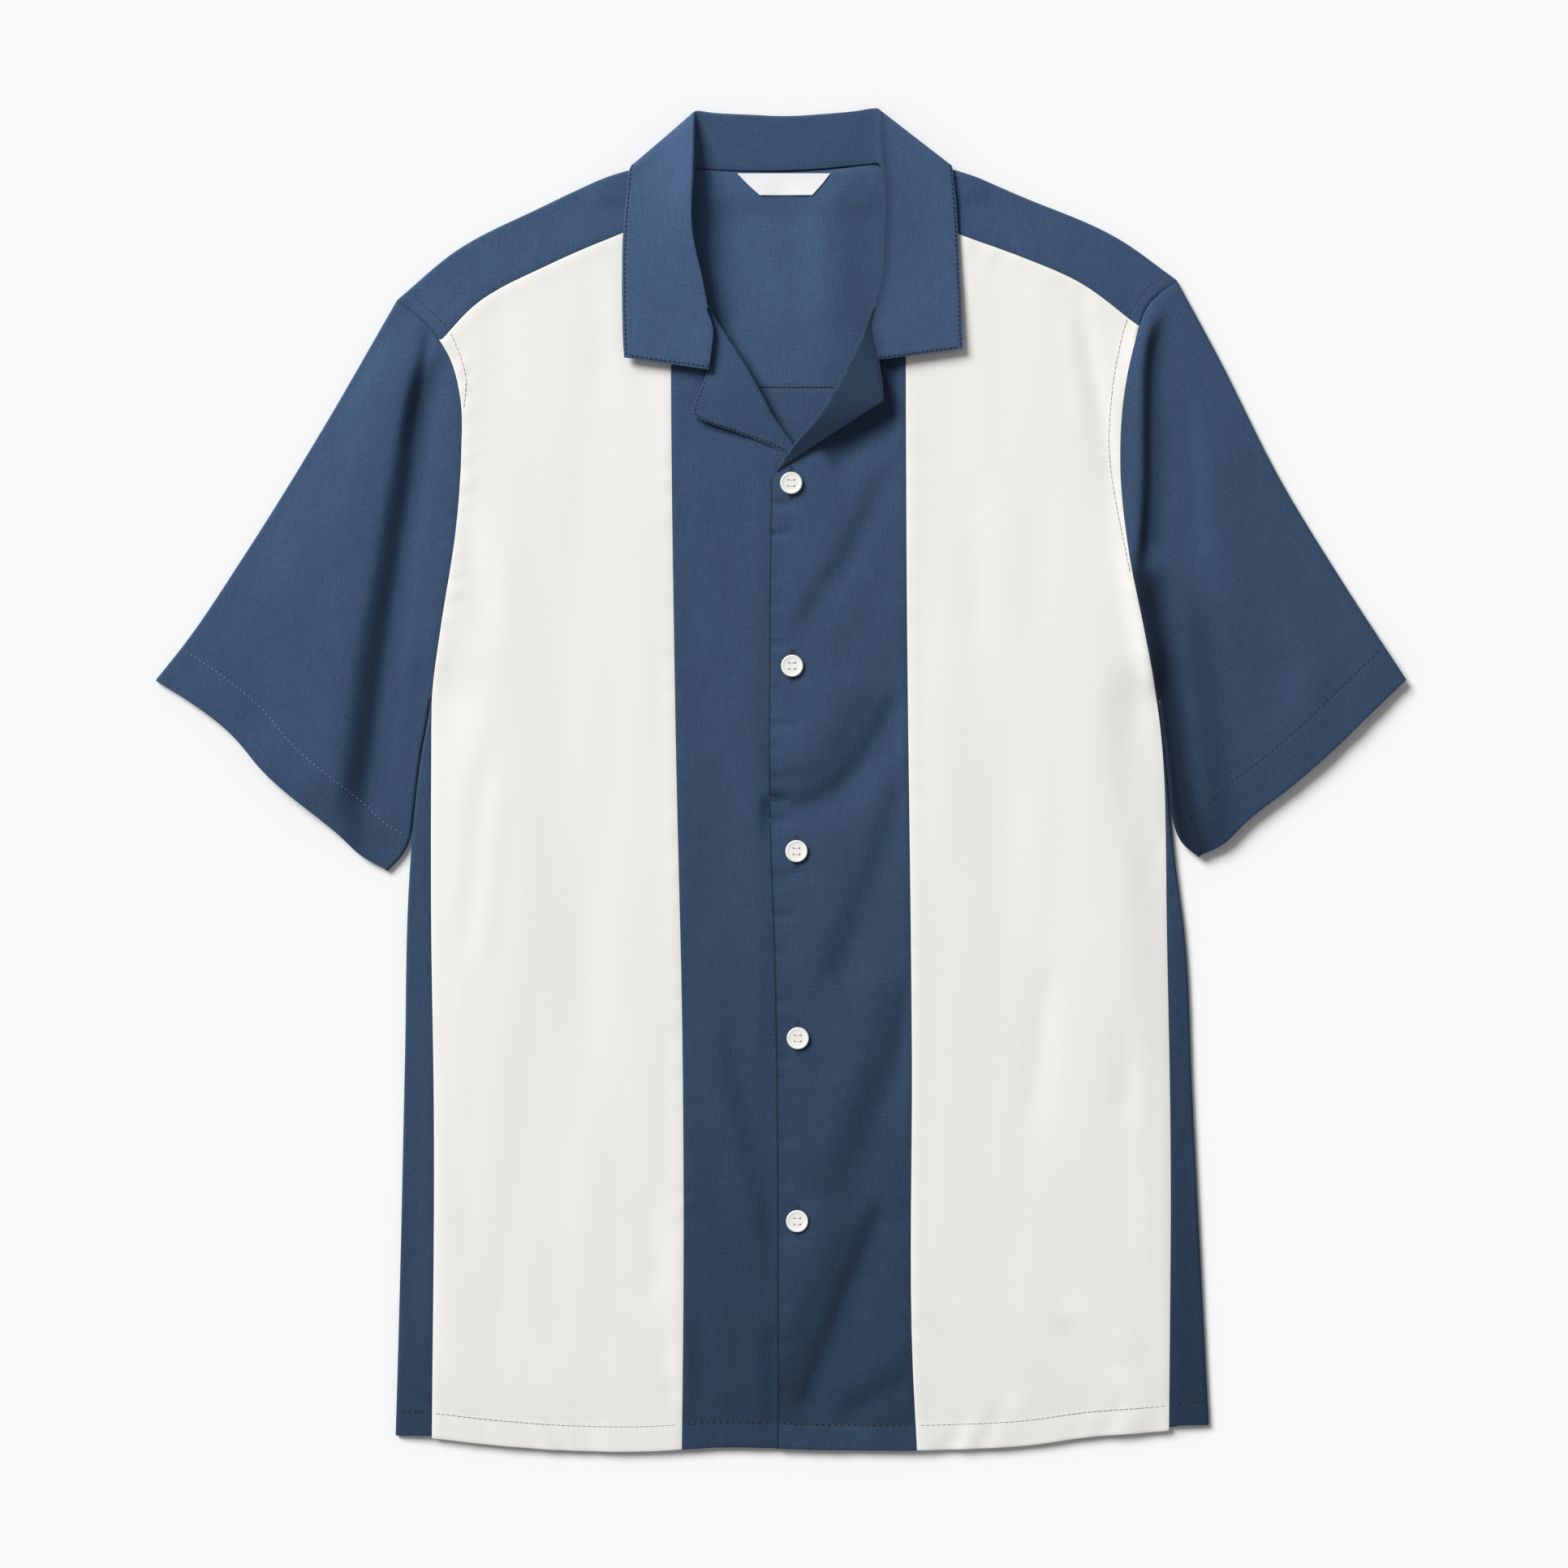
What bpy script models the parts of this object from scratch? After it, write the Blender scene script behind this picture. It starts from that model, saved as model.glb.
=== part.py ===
"""Bowling shirt with a camp collar, buttoned and laid flat with its front up.

The floor is z = 0. The collar points to +Y, and the wearer's left is at +X. Sizes are in
millimetres, and a mesh gets its points in metres. Each cut piece is drawn on its outer face as
rows of points, and Solidify gives it its wall towards the inside. Right and left are the wearer's.
"""

import math
from collections import namedtuple

import bmesh
import bpy
import numpy as np

# Cloth, in millimetres
MM = 0.001
WALL = 1.2  # body and sleeve cloth
COLLAR_WALL = 1.5  # collar, two plies and interlining
LABEL_WALL = 1.0
SEAM = 0.3  # space between two pieces at a seam, and between two layers
JOIN = 0.01  # points of one piece this close are one point

# Heights of the flat shirt, in millimetres
FOLD_HEIGHT = 3.4  # over both layers at a folded edge
FOLD_RADIUS = FOLD_HEIGHT / 2
FILL = 2.4  # how much higher the front lies away from the folded edges
EDGE_REACH = 34.0  # distance from a folded edge to the full height
OPEN_REACH = 45.0  # the same from the hem or a cuff
OPEN_SHARE = 0.5  # part of the fill that is left at the hem and cuffs
LOWEST_TOP = 3.0
HIGHEST_TOP = 6.2
COLLAR_LIFT = 1.9  # the back neck lies on the collar's fall
LIFT_START = 321.0  # y where that lift begins
LIFT_FULL = 335.0
LIFT_WIDTH = 120.0  # |x| where the lift ends, from the shirt's middle
LIFT_FADE = 14.0
MIDDLE = 5.0  # x of the neck's middle

# Front overlap, in millimetres
UNDER_DROP = 2.0  # the right front lies this much lower under the left one
DROP_START = -21.0
DROP_FULL = -9.0
CROSSING = (7.0, 181.0)  # where the left front climbs over the right lapel
CROSSING_RISE = 1.3
CROSSING_REACH = 28.0

# Seam heights along the shirt, y in millimetres
BACK_YOKE_SEAM = 225.0
ARMPIT = 44.0
ARMPIT_NOTCH = 6.0  # the armhole seam ends this far above the sleeve's lower fold
UNDERARM_END = -14.0  # the sleeve lies along the side down to here
UNDERARM_SPACE = 1.0
HEM_FADE = 4  # how fast the back's rows straighten above its curved hem

# Parts that a fold, arc or row is made of
FOLD_PARTS = 5
STEPS = 10  # steps between two points of a smooth line

# Buttons, in millimetres
BUTTON_RADIUS = 6.35
BUTTON_HEIGHT = 2.4
BUTTON_RIM = 1.1  # width of the raised rim
BUTTON_DISH = 0.6  # depth of the middle below the rim
BUTTON_EDGE = 0.5  # rounding of the two faces' edges
BUTTON_EDGE_PARTS = 2
BUTTON_SIDES = 20
SHARP_ANGLE = 40.0  # degrees
LEVEL = 0.9  # a face whose normal is this near to vertical is a top or a bottom
HOLE_RADIUS = 0.9
HOLE_PLACE = 1.45  # of each hole from the button's middle, in x and in y
HOLE_SIDES = 6
CUTTER_LENGTH = 3.0 * BUTTON_HEIGHT
BUTTON_CENTERS = ((6.0, 169.5), (6.5, 65.0), (9.0, -41.0), (9.8, -148.0), (9.4, -252.5))

# Hem of the fronts from the right side to the left one, plan points
HEM = (
    (-221.0, -376.0),
    (-200.0, -377.5),
    (-168.5, -381.0),
    (-121.5, -384.5),
    (-76.5, -385.0),
    (-35.0, -382.5),
    (25.0, -384.0),
    (109.5, -383.5),
    (142.5, -381.5),
    (175.0, -377.0),
    (223.0, -373.0),
    (246.0, -370.0),
)
BACK_HEM_RISE = 1.5  # the back's hem stays just inside the front's

# Plan lines of each side, from its silhouette and its seams
Side = namedtuple(
    "Side",
    "name sign top_fold tip armhole cuff side_fold underarm side_seam yoke_seam princess",
)
RIGHT = Side(
    name="right",
    sign=-1,
    top_fold=(
        (-45.5, 354.0),
        (-83.0, 350.0),
        (-143.0, 325.5),
        (-185.0, 304.0),
        (-220.0, 275.0),
        (-261.5, 203.0),
        (-308.0, 128.0),
        (-342.5, 77.0),
        (-358.5, 57.0),
    ),
    tip=(-220.0, 275.0),
    armhole=(
        (-220.0, 275.0),
        (-200.0, 257.5),
        (-189.5, 241.0),
        (-183.5, 218.0),
        (-183.0, 187.0),
        (-186.0, 144.5),
        (-195.0, 85.5),
        (-200.0, 47.0),
        (-200.3, 40.0),
    ),
    cuff=((-342.5, 47.0), (-315.5, 26.5), (-296.5, 4.5), (-252.5, -32.5), (-240.0, -44.0)),
    side_fold=(
        (-203.7, 52.0),
        (-204.5, 40.0),
        (-209.0, 7.5),
        (-211.0, -32.5),
        (-213.5, -65.0),
        (-215.5, -158.0),
        (-219.0, -310.5),
        (-221.0, -380.0),
    ),
    underarm=((-216.0, -42.0), (-225.5, -52.5)),
    side_seam=((-200.3, 44.0), (-200.5, -68.5), (-198.7, -204.5), (-200.0, -385.0)),
    yoke_seam=((-194.0, 252.0), (-176.0, 271.0), (-132.5, 295.0), (-90.5, 313.0), (-44.5, 331.0)),
    princess=(
        (-63.0, 325.0),
        (-62.5, 206.0),
        (-60.0, 28.0),
        (-56.0, -158.0),
        (-55.5, -297.5),
        (-56.5, -385.0),
    ),
)
LEFT = Side(
    name="left",
    sign=1,
    top_fold=(
        (56.5, 354.5),
        (96.5, 350.0),
        (142.5, 332.5),
        (193.0, 310.5),
        (227.0, 286.5),
        (250.0, 244.0),
        (287.5, 170.0),
        (323.0, 112.0),
        (358.5, 57.0),
    ),
    tip=(227.0, 286.5),
    armhole=(
        (227.0, 286.5),
        (210.0, 271.0),
        (202.5, 249.0),
        (197.0, 222.5),
        (194.5, 182.5),
        (198.5, 135.5),
        (207.5, 84.0),
        (213.0, 51.5),
        (214.0, 40.0),
    ),
    cuff=((336.5, 36.5), (315.5, 16.0), (292.5, -4.0), (268.5, -22.5), (251.0, -38.5)),
    side_fold=(
        (215.0, 52.0),
        (216.5, 42.0),
        (219.9, 25.0),
        (222.4, 2.0),
        (223.6, -23.0),
        (226.0, -45.5),
        (231.5, -88.0),
        (236.0, -181.0),
        (240.5, -271.5),
        (246.0, -380.0),
    ),
    underarm=((230.0, -36.5), (239.5, -44.5)),
    side_seam=((213.6, 44.0), (218.6, 7.5), (221.0, -68.5), (223.5, -204.5), (222.5, -385.0)),
    yoke_seam=((204.5, 260.0), (171.5, 284.5), (138.5, 299.0), (101.5, 312.5), (56.5, 331.0)),
    princess=(
        (71.5, 325.0),
        (71.5, 243.0),
        (72.0, 121.0),
        (75.0, -158.0),
        (75.5, -336.5),
        (78.0, -385.0),
    ),
)

# A soft ridge (height > 0) or trough (height < 0) of the front layer, from one end to the other
Fold = namedtuple("Fold", "x1 y1 x2 y2 width height")
FOLDS = (
    Fold(-203.0, 235.0, -212.0, 180.0, 9.0, -2.2),
    Fold(-212.0, 180.0, -228.0, 90.0, 11.0, -2.4),
    Fold(-228.0, 90.0, -245.0, -10.0, 14.0, -1.8),
    Fold(-235.0, 215.0, -262.0, 60.0, 16.0, 0.8),
    Fold(-330.0, 70.0, -270.0, 20.0, 18.0, -0.8),
    Fold(212.0, 250.0, 213.0, 150.0, 8.0, -2.2),
    Fold(213.0, 150.0, 232.0, 60.0, 12.0, -1.6),
    Fold(240.0, 70.0, 238.0, -5.0, 10.0, 1.0),
    Fold(255.0, 190.0, 290.0, 40.0, 18.0, -0.9),
    Fold(180.0, 275.0, 188.0, 195.0, 9.0, -1.2),
    Fold(-120.0, 200.0, -112.0, -260.0, 26.0, -1.0),
    Fold(-165.0, 120.0, -160.0, -300.0, 18.0, 0.5),
    Fold(125.0, 190.0, 120.0, -240.0, 28.0, -1.0),
    Fold(170.0, 60.0, 182.0, -320.0, 20.0, 0.5),
    Fold(18.0, -245.0, 48.0, -350.0, 15.0, -1.1),
    Fold(-35.0, 90.0, -30.0, -280.0, 12.0, -0.7),
)

# Fronts' free line: neck edge, roll line and front edge, plan points from the yoke to the hem.
# The roll line is the silhouette of the turned lapel, and crest is the lapel's height there.
NECK_EDGES = {
    "right": ((-44.5, 331.0), (-43.5, 311.0), (-39.0, 289.0), (-37.0, 272.0)),
    "left": ((52.5, 331.0), (51.5, 311.0), (50.0, 289.0), (48.5, 272.0)),
}
FRONT_EDGES = {
    "right": ((19.0, 172.5), (19.0, -18.5), (22.0, -150.0), (22.5, -385.0)),
    "left": ((-5.5, 171.0), (-6.5, 74.5), (-6.5, -18.5), (-3.5, -111.5), (-2.0, -232.5), (-2.0, -385.0)),
}
LapelRow = namedtuple("LapelRow", "roll_x roll_y crest edge_x edge_y edge_top")
LAPELS = {
    "right": (
        LapelRow(-37.5, 265.0, 8.6, -41.5, 259.5, 7.4),
        LapelRow(-31.0, 255.5, 8.8, -42.0, 247.0, 7.4),
        LapelRow(-24.5, 245.5, 8.8, -42.0, 234.5, 7.6),
        LapelRow(-18.5, 235.0, 8.6, -46.0, 223.0, 8.0),
        LapelRow(-12.5, 224.0, 8.2, -49.8, 211.0, 8.2),
        LapelRow(-8.5, 216.5, 7.8, -47.0, 206.5, 8.2),
        LapelRow(-4.5, 208.5, 7.3, -27.0, 199.0, 7.8),
        LapelRow(1.5, 200.0, 6.5, -11.0, 193.0, 6.6),
        LapelRow(7.0, 192.5, 5.6, 2.5, 186.5, 5.5),
        LapelRow(13.5, 182.5, 5.3, 11.0, 179.0, 5.3),
    ),
    "left": (
        LapelRow(49.5, 265.0, 8.8, 55.0, 260.5, 7.9),
        LapelRow(45.5, 252.5, 9.4, 56.0, 246.0, 8.2),
        LapelRow(40.0, 241.0, 9.9, 56.5, 236.0, 8.8),
        LapelRow(34.0, 229.5, 10.2, 58.0, 227.0, 10.4),
        LapelRow(27.0, 217.5, 10.2, 58.5, 219.0, 11.2),
        LapelRow(20.0, 206.5, 10.0, 57.0, 214.5, 11.4),
        LapelRow(13.5, 199.5, 9.8, 44.5, 206.5, 11.2),
        LapelRow(7.0, 192.0, 9.4, 30.0, 197.5, 10.8),
        LapelRow(2.0, 184.5, 9.0, 14.0, 187.0, 9.8),
        LapelRow(-3.0, 177.0, 8.4, 1.0, 178.5, 8.4),
    ),
}
ROLL_REACH = 2.4  # plan depth of the roll's round

# Collar. Heights are of the upper collar's face: the stand's rim at the neck seam, the stand's
# and the fall's ends at the roll, and the fall's free edge. The wing's rows below the roll's end
# have no stand. Rows run from the wing's lower edge up, round the shoulder fold and to the back.
CollarRow = namedtuple("CollarRow", "stand neck_z stand_z fall_z edge_z")
COLLAR_HEIGHTS = (
    CollarRow(False, 0.0, 0.0, 10.6, 8.0),
    CollarRow(False, 0.0, 0.0, 10.9, 7.9),
    CollarRow(False, 0.0, 0.0, 11.2, 7.8),
    CollarRow(True, 7.4, 9.4, 11.7, 7.8),
    CollarRow(True, 7.3, 10.8, 13.4, 7.8),
    CollarRow(True, 7.3, 12.8, 15.6, 7.8),
    CollarRow(True, 7.3, 13.4, 16.4, 7.9),
    CollarRow(True, 7.3, 12.6, 15.4, 8.0),
    CollarRow(True, 7.2, 10.0, 12.6, 8.1),
    CollarRow(True, 6.6, 7.8, 9.8, 8.0),
    CollarRow(True, 5.6, 6.4, 7.6, 6.9),
    CollarRow(True, 4.8, 5.6, 4.4, 4.0),
    CollarRow(True, 4.0, 5.0, 1.3, 1.2),
    CollarRow(True, 3.6, 4.7, 0.0, 0.0),
    CollarRow(True, 3.5, 4.5, 0.0, 0.0),
    CollarRow(True, 3.5, 4.4, 0.0, 0.0),
)
CollarPlan = namedtuple("CollarPlan", "neck_x neck_y roll_x roll_y edge_x edge_y")
COLLAR_PLANS = {
    "right": (
        CollarPlan(0.0, 0.0, -41.0, 234.0, -89.5, 241.0),
        CollarPlan(0.0, 0.0, -39.5, 246.0, -90.2, 252.0),
        CollarPlan(0.0, 0.0, -38.8, 258.0, -90.5, 264.0),
        CollarPlan(-37.6, 269.5, -40.0, 268.5, -90.7, 275.0),
        CollarPlan(-39.0, 289.0, -44.0, 289.0, -90.7, 290.0),
        CollarPlan(-43.0, 309.0, -49.0, 311.0, -90.5, 305.5),
        CollarPlan(-44.2, 327.0, -50.0, 329.0, -89.6, 321.5),
        CollarPlan(-45.0, 341.0, -49.2, 348.0, -88.4, 335.0),
        CollarPlan(-45.8, 351.0, -49.0, 365.0, -87.4, 343.5),
        CollarPlan(-46.2, 355.0, -48.9, 377.8, -86.6, 348.5),
        CollarPlan(-46.2, 356.6, -48.9, 381.8, -85.6, 351.2),
        CollarPlan(-45.6, 356.8, -48.6, 383.5, -84.0, 352.2),
        CollarPlan(-44.8, 356.0, -46.8, 383.2, -81.4, 351.0),
        CollarPlan(-43.8, 353.6, -44.0, 382.6, -77.6, 348.2),
        CollarPlan(-40.0, 350.6, -39.0, 382.0, -66.0, 343.5),
        CollarPlan(-19.0, 349.0, -18.0, 381.0, -34.0, 339.0),
    ),
    "left": (
        CollarPlan(0.0, 0.0, 55.5, 239.5, 104.0, 246.0),
        CollarPlan(0.0, 0.0, 53.8, 248.5, 103.6, 256.0),
        CollarPlan(0.0, 0.0, 52.2, 258.5, 103.3, 267.0),
        CollarPlan(49.0, 269.5, 52.0, 268.5, 103.0, 277.0),
        CollarPlan(50.0, 289.0, 56.3, 289.0, 102.3, 291.0),
        CollarPlan(51.0, 309.0, 57.6, 311.0, 101.7, 305.5),
        CollarPlan(52.0, 327.0, 58.3, 331.0, 100.9, 321.5),
        CollarPlan(53.5, 341.0, 57.0, 349.0, 99.9, 335.0),
        CollarPlan(54.8, 351.0, 56.0, 366.0, 98.9, 343.5),
        CollarPlan(56.2, 355.0, 55.8, 379.0, 98.4, 348.5),
        CollarPlan(56.4, 357.0, 55.6, 383.2, 97.8, 351.2),
        CollarPlan(55.8, 357.4, 55.0, 385.0, 96.6, 352.4),
        CollarPlan(55.0, 356.8, 53.0, 384.6, 93.6, 351.2),
        CollarPlan(54.2, 354.6, 50.0, 384.0, 89.4, 348.2),
        CollarPlan(50.0, 352.2, 45.0, 383.2, 77.0, 343.5),
        CollarPlan(24.0, 349.4, 22.0, 381.2, 40.0, 339.0),
    ),
}
COLLAR_MIDDLE = CollarPlan(2.0, 348.6, 2.0, 380.2, 2.0, 337.8)
STAND_ROUND = 1.6  # from the roll to the stand's end, in plan
FALL_ROUND = 2.4
ROLL_FULLNESS = 0.62  # handle length of the roll's curve, as a part of its width
DROOP = 1.5  # the fall is steepest near the roll
STAND_PARTS = 4
ROLL_PARTS = 4
FALL_PARTS = 6

# Neck: plan points of the back neck seam between the two shoulder folds, and the label
BACK_NECK = ((-42.0, 349.4), (-30.0, 348.3), (2.0, 348.0), (38.0, 349.0), (52.0, 351.4))
LabelRow = namedtuple("LabelRow", "y x1 x2")
LABEL = (LabelRow(347.4, -25.0, 28.5), LabelRow(341.5, -19.3, 23.9), LabelRow(334.8, -12.0, 18.0))
LABEL_COLUMNS = 6

# Rows and columns of the panels
SIDE_SHARES = (0.0, 0.16, 0.32, 0.48, 0.63, 0.75, 0.83, 0.9, 0.95, 1.0)  # hem to armpit
ARMHOLE_ROWS = 11  # along the armhole, below the yoke
YOKE_BACK_SHARES = (0.0, 0.25, 0.5, 0.74, 0.88, 1.0)  # back yoke seam to shoulder
YOKE_FRONT_ROWS = 6
YOKE_COLUMNS = 9
FRONT_COLUMNS = 9
CENTER_COLUMNS = 6
LAPEL_COLUMNS = 4
BACK_COLUMNS = 10
STRIP_COLUMNS = 3
SLEEVE_TOP_SHARES = (0.0, 1 / 6, 1 / 3, 1 / 2, 2 / 3, 5 / 6, 11 / 12, 1.0)  # yoke's front end
SLEEVE_BACK_SHARES = (0.0, 0.12, 0.26, 0.5, 0.75, 1.0)  # yoke's back end
CUFF_TOP_SHARES = (0.0, 0.18, 0.35, 0.51, 0.66, 0.79, 0.9, 1.0)
CUFF_UNDER_SHARES = (0.0, 0.2, 0.4, 0.6, 0.8, 1.0)
UNDERARM_ROWS = 8
EDGE_ROWS = 13  # rows of a front centre panel from the V to the hem
NECK_ROWS = 4  # and from the roll line's top to the yoke

# Looks: linear colour and roughness
BLUE = ((0.052, 0.088, 0.162), 0.8)
CREAM = ((0.80, 0.79, 0.74), 0.8)
LABEL_WHITE = ((0.86, 0.87, 0.89), 0.6)
BUTTON_WHITE = ((0.80, 0.78, 0.72), 0.3)


def smooth(value):
    """0 to 1 with level ends."""
    value = np.clip(value, 0.0, 1.0)
    return value * value * (3.0 - 2.0 * value)


def smooth_line(points, steps=STEPS):
    """A curve through the points, as short steps."""
    points = np.array(points, float)
    lengths = np.linalg.norm(np.diff(points, axis=0), axis=1)
    place = np.concatenate([[0.0], np.cumsum(lengths)])
    slopes = np.gradient(points, place, axis=0)
    line = []
    for start, length in enumerate(lengths):
        for t in np.linspace(0.0, 1.0, steps, endpoint=False):
            ahead = t * t * (3.0 - 2.0 * t)
            line.append(
                points[start] * (1.0 - ahead)
                + points[start + 1] * ahead
                + slopes[start] * length * t * (1.0 - t) ** 2
                - slopes[start + 1] * length * t * t * (1.0 - t)
            )
    return np.array(line + [points[-1]])


def lengths_along(line):
    """The distance from the line's start to each of its points."""
    return np.concatenate([[0.0], np.cumsum(np.linalg.norm(np.diff(line, axis=0), axis=1))])


def shares_along(line):
    """The same distances as shares of the line's length."""
    lengths = lengths_along(line)
    return lengths / lengths[-1]


def at_shares(line, shares):
    """Points at the given shares of a line's length."""
    place = shares_along(line)
    return np.stack([np.interp(shares, place, line[:, axis]) for axis in (0, 1)], axis=1)


def spread(line, count):
    """count + 1 points at equal distances along a line."""
    return at_shares(line, np.linspace(0.0, 1.0, count + 1))


def x_at(line, y):
    """x of a line that runs up or down the shirt."""
    order = np.argsort(line[:, 1])
    return np.interp(y, line[order, 1], line[order, 0])


def y_at(line, x):
    """y of a line that runs across the shirt."""
    order = np.argsort(line[:, 0])
    return np.interp(x, line[order, 0], line[order, 1])


def between(start, end, shares):
    """Values at the given shares of the way from start to end."""
    return [start + (end - start) * share for share in shares]


def at_heights(line, heights):
    """The line's plan points at the given y."""
    return np.array([(x_at(line, y), y) for y in heights])


def at_widths(line, widths):
    """The line's plan points at the given x."""
    return np.array([(x, y_at(line, x)) for x in widths])


def normals_of(line):
    """Unit plan vectors to the left of a line's direction."""
    along = np.gradient(line, axis=0)
    along /= np.linalg.norm(along, axis=1)[:, None]
    return np.stack([-along[:, 1], along[:, 0]], axis=1)


def shifted(line, distance):
    """A line moved to its left."""
    return line + normals_of(line) * distance


def nearest(line, point):
    """Index of the line's point nearest to a plan point."""
    return int(np.argmin(np.linalg.norm(line - np.array(point), axis=1)))


def distance_to(line, x, y):
    """Distance from a plan point to a line."""
    start, end = line[:-1], line[1:]
    step = end - start
    offset = np.array([x, y]) - start
    share = np.clip((offset * step).sum(axis=1) / (step * step).sum(axis=1), 0.0, 1.0)
    return float(np.linalg.norm(offset - step * share[:, None], axis=1).min())


def patch(bottom, top, left, right):
    """Rows of plan points that fill the space between four border lines (a Coons patch)."""
    columns = (shares_along(bottom) + shares_along(top)) / 2
    heights = (shares_along(left) + shares_along(right)) / 2
    rows = []
    for v, start, end in zip(heights, left, right):
        row = []
        for u, low, high in zip(columns, bottom, top):
            across = start * (1.0 - u) + end * u
            along = low * (1.0 - v) + high * v
            first = bottom[0] * (1.0 - v) + top[0] * v
            last = bottom[-1] * (1.0 - v) + top[-1] * v
            row.append(across + along - first * (1.0 - u) - last * u)
        rows.append(row)
    return rows


HEM_LINE = smooth_line(HEM)
TOP_FOLDS = {side.name: smooth_line(side.top_fold) for side in (RIGHT, LEFT)}
SIDE_FOLDS = {side.name: smooth_line(side.side_fold) for side in (RIGHT, LEFT)}
ARMHOLES = {side.name: smooth_line(side.armhole) for side in (RIGHT, LEFT)}
SIDE_SEAMS = {side.name: smooth_line(side.side_seam) for side in (RIGHT, LEFT)}
YOKE_SEAMS = {side.name: smooth_line(side.yoke_seam) for side in (RIGHT, LEFT)}
PRINCESS_SEAMS = {side.name: smooth_line(side.princess) for side in (RIGHT, LEFT)}


def underarm_line(side):
    """Silhouette of the sleeve's lower fold, beside the body's side and then out to the cuff."""
    beside = at_heights(SIDE_FOLDS[side.name], np.linspace(ARMPIT, UNDERARM_END, 5))
    beside[:, 0] += side.sign * UNDERARM_SPACE
    return smooth_line([tuple(point) for point in beside] + list(side.underarm))


UNDERARMS = {side.name: underarm_line(side) for side in (RIGHT, LEFT)}
FOLDED_EDGES = (
    list(TOP_FOLDS.values())
    + [line[line[:, 1] < ARMPIT] for line in SIDE_FOLDS.values()]
    + list(UNDERARMS.values())
)
CUFF_LINES = [smooth_line([side.top_fold[-1], *side.cuff, side.underarm[-1]]) for side in (RIGHT, LEFT)]
OPEN_EDGES = [HEM_LINE] + CUFF_LINES


def fold_shape(fold, x, y):
    """1 on the fold's line, falling to 0 beside it and past its ends."""
    start = np.array([fold.x1, fold.y1])
    step = np.array([fold.x2, fold.y2]) - start
    length = np.linalg.norm(step)
    offset = np.array([x, y]) - start
    share = float(offset @ step) / length**2
    beside = np.linalg.norm(offset - step * share)
    past_end = max(-share, share - 1.0, 0.0) * length
    return math.exp(-((beside / fold.width) ** 2) - (past_end / (2.0 * fold.width)) ** 2)


def front_top(x, y):
    """Height of the front layer's outer face, for the body and the sleeves alike."""
    edge = min(distance_to(line, x, y) for line in FOLDED_EDGES)
    end = min(distance_to(line, x, y) for line in OPEN_EDGES)
    fill = FILL * (OPEN_SHARE + (1.0 - OPEN_SHARE) * smooth(end / OPEN_REACH))
    folds = sum(fold.height * fold_shape(fold, x, y) for fold in FOLDS)
    rise = (fill + folds) * smooth(edge / EDGE_REACH)
    return float(np.clip(FOLD_HEIGHT + rise, LOWEST_TOP, HIGHEST_TOP))


def floor_level(x, y):
    """Height of a layer that lies on the floor."""
    return 0.0


def neck_lift(x, y):
    """How far the back yoke is raised by the collar's fall under it."""
    beside = smooth((LIFT_WIDTH - abs(x - MIDDLE)) / LIFT_FADE)
    return float(COLLAR_LIFT * beside * smooth((y - LIFT_START) / (LIFT_FULL - LIFT_START)))


def yoke_top(x, y):
    """Height of the yoke's front, which clears its own raised back."""
    return max(front_top(x, y), neck_lift(x, y) + FOLD_HEIGHT)


def under_front_top(x, y):
    """The right front, lower where the left one laps over it."""
    drop = UNDER_DROP * float(smooth((x - DROP_START) / (DROP_FULL - DROP_START)))
    return max(front_top(x, y) - drop, WALL + SEAM + WALL)


def over_front_top(x, y):
    """The left front, higher where it crosses the right lapel and over the right front's edge."""
    away = math.hypot(x - CROSSING[0], y - CROSSING[1]) / CROSSING_REACH
    lowest = WALL + 2.0 * (WALL + SEAM) + SEAM
    return max(front_top(x, y), lowest) + CROSSING_RISE * math.exp(-away * away)


def material_of(name, look):
    """A Principled material of one linear colour and roughness."""
    material = bpy.data.materials.new(name)
    material.use_nodes = True
    shader = material.node_tree.nodes["Principled BSDF"]
    colour, roughness = look
    shader.inputs["Base Color"].default_value = (*colour, 1.0)
    shader.inputs["Roughness"].default_value = roughness
    shader.inputs["Metallic"].default_value = 0.0
    return material


def cloth(name, grids, wall, look, first_face_up):
    """One cut piece: grids of points on its outer face, joined, with the wall added inside."""
    form = bmesh.new()
    for grid in grids:
        rows = [[form.verts.new([value * MM for value in point]) for point in row] for row in grid]
        for low, high in zip(rows, rows[1:]):
            for a, b, c, d in zip(low, low[1:], high[1:], high):
                form.faces.new((a, b, c, d))
    bmesh.ops.remove_doubles(form, verts=form.verts, dist=JOIN * MM)
    form.faces.ensure_lookup_table()
    form.normal_update()
    if (form.faces[0].normal.z > 0.0) != first_face_up:
        bmesh.ops.reverse_faces(form, faces=form.faces)
    mesh = bpy.data.meshes.new(name)
    form.to_mesh(mesh)
    form.free()
    mesh.shade_smooth()
    piece = bpy.data.objects.new(name, mesh)
    bpy.context.scene.collection.objects.link(piece)
    piece.data.materials.append(material_of(name, look))
    solid = piece.modifiers.new("Wall", "SOLIDIFY")
    solid.thickness = wall * MM
    solid.offset = -1.0
    solid.use_even_offset = True
    solid.use_quality_normals = True
    return piece


def fold_arc(inner, outward, low, high, reach, parts=FOLD_PARTS):
    """Points round a folded edge between its lower and its upper layer, ends left out."""
    arc = []
    for part in range(1, parts):
        angle = math.pi * (part / parts - 0.5)
        plan = np.array(inner) + np.array(outward) * reach * math.cos(angle)
        arc.append((*plan, (low + high) / 2 + (high - low) / 2 * math.sin(angle)))
    return arc


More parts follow.
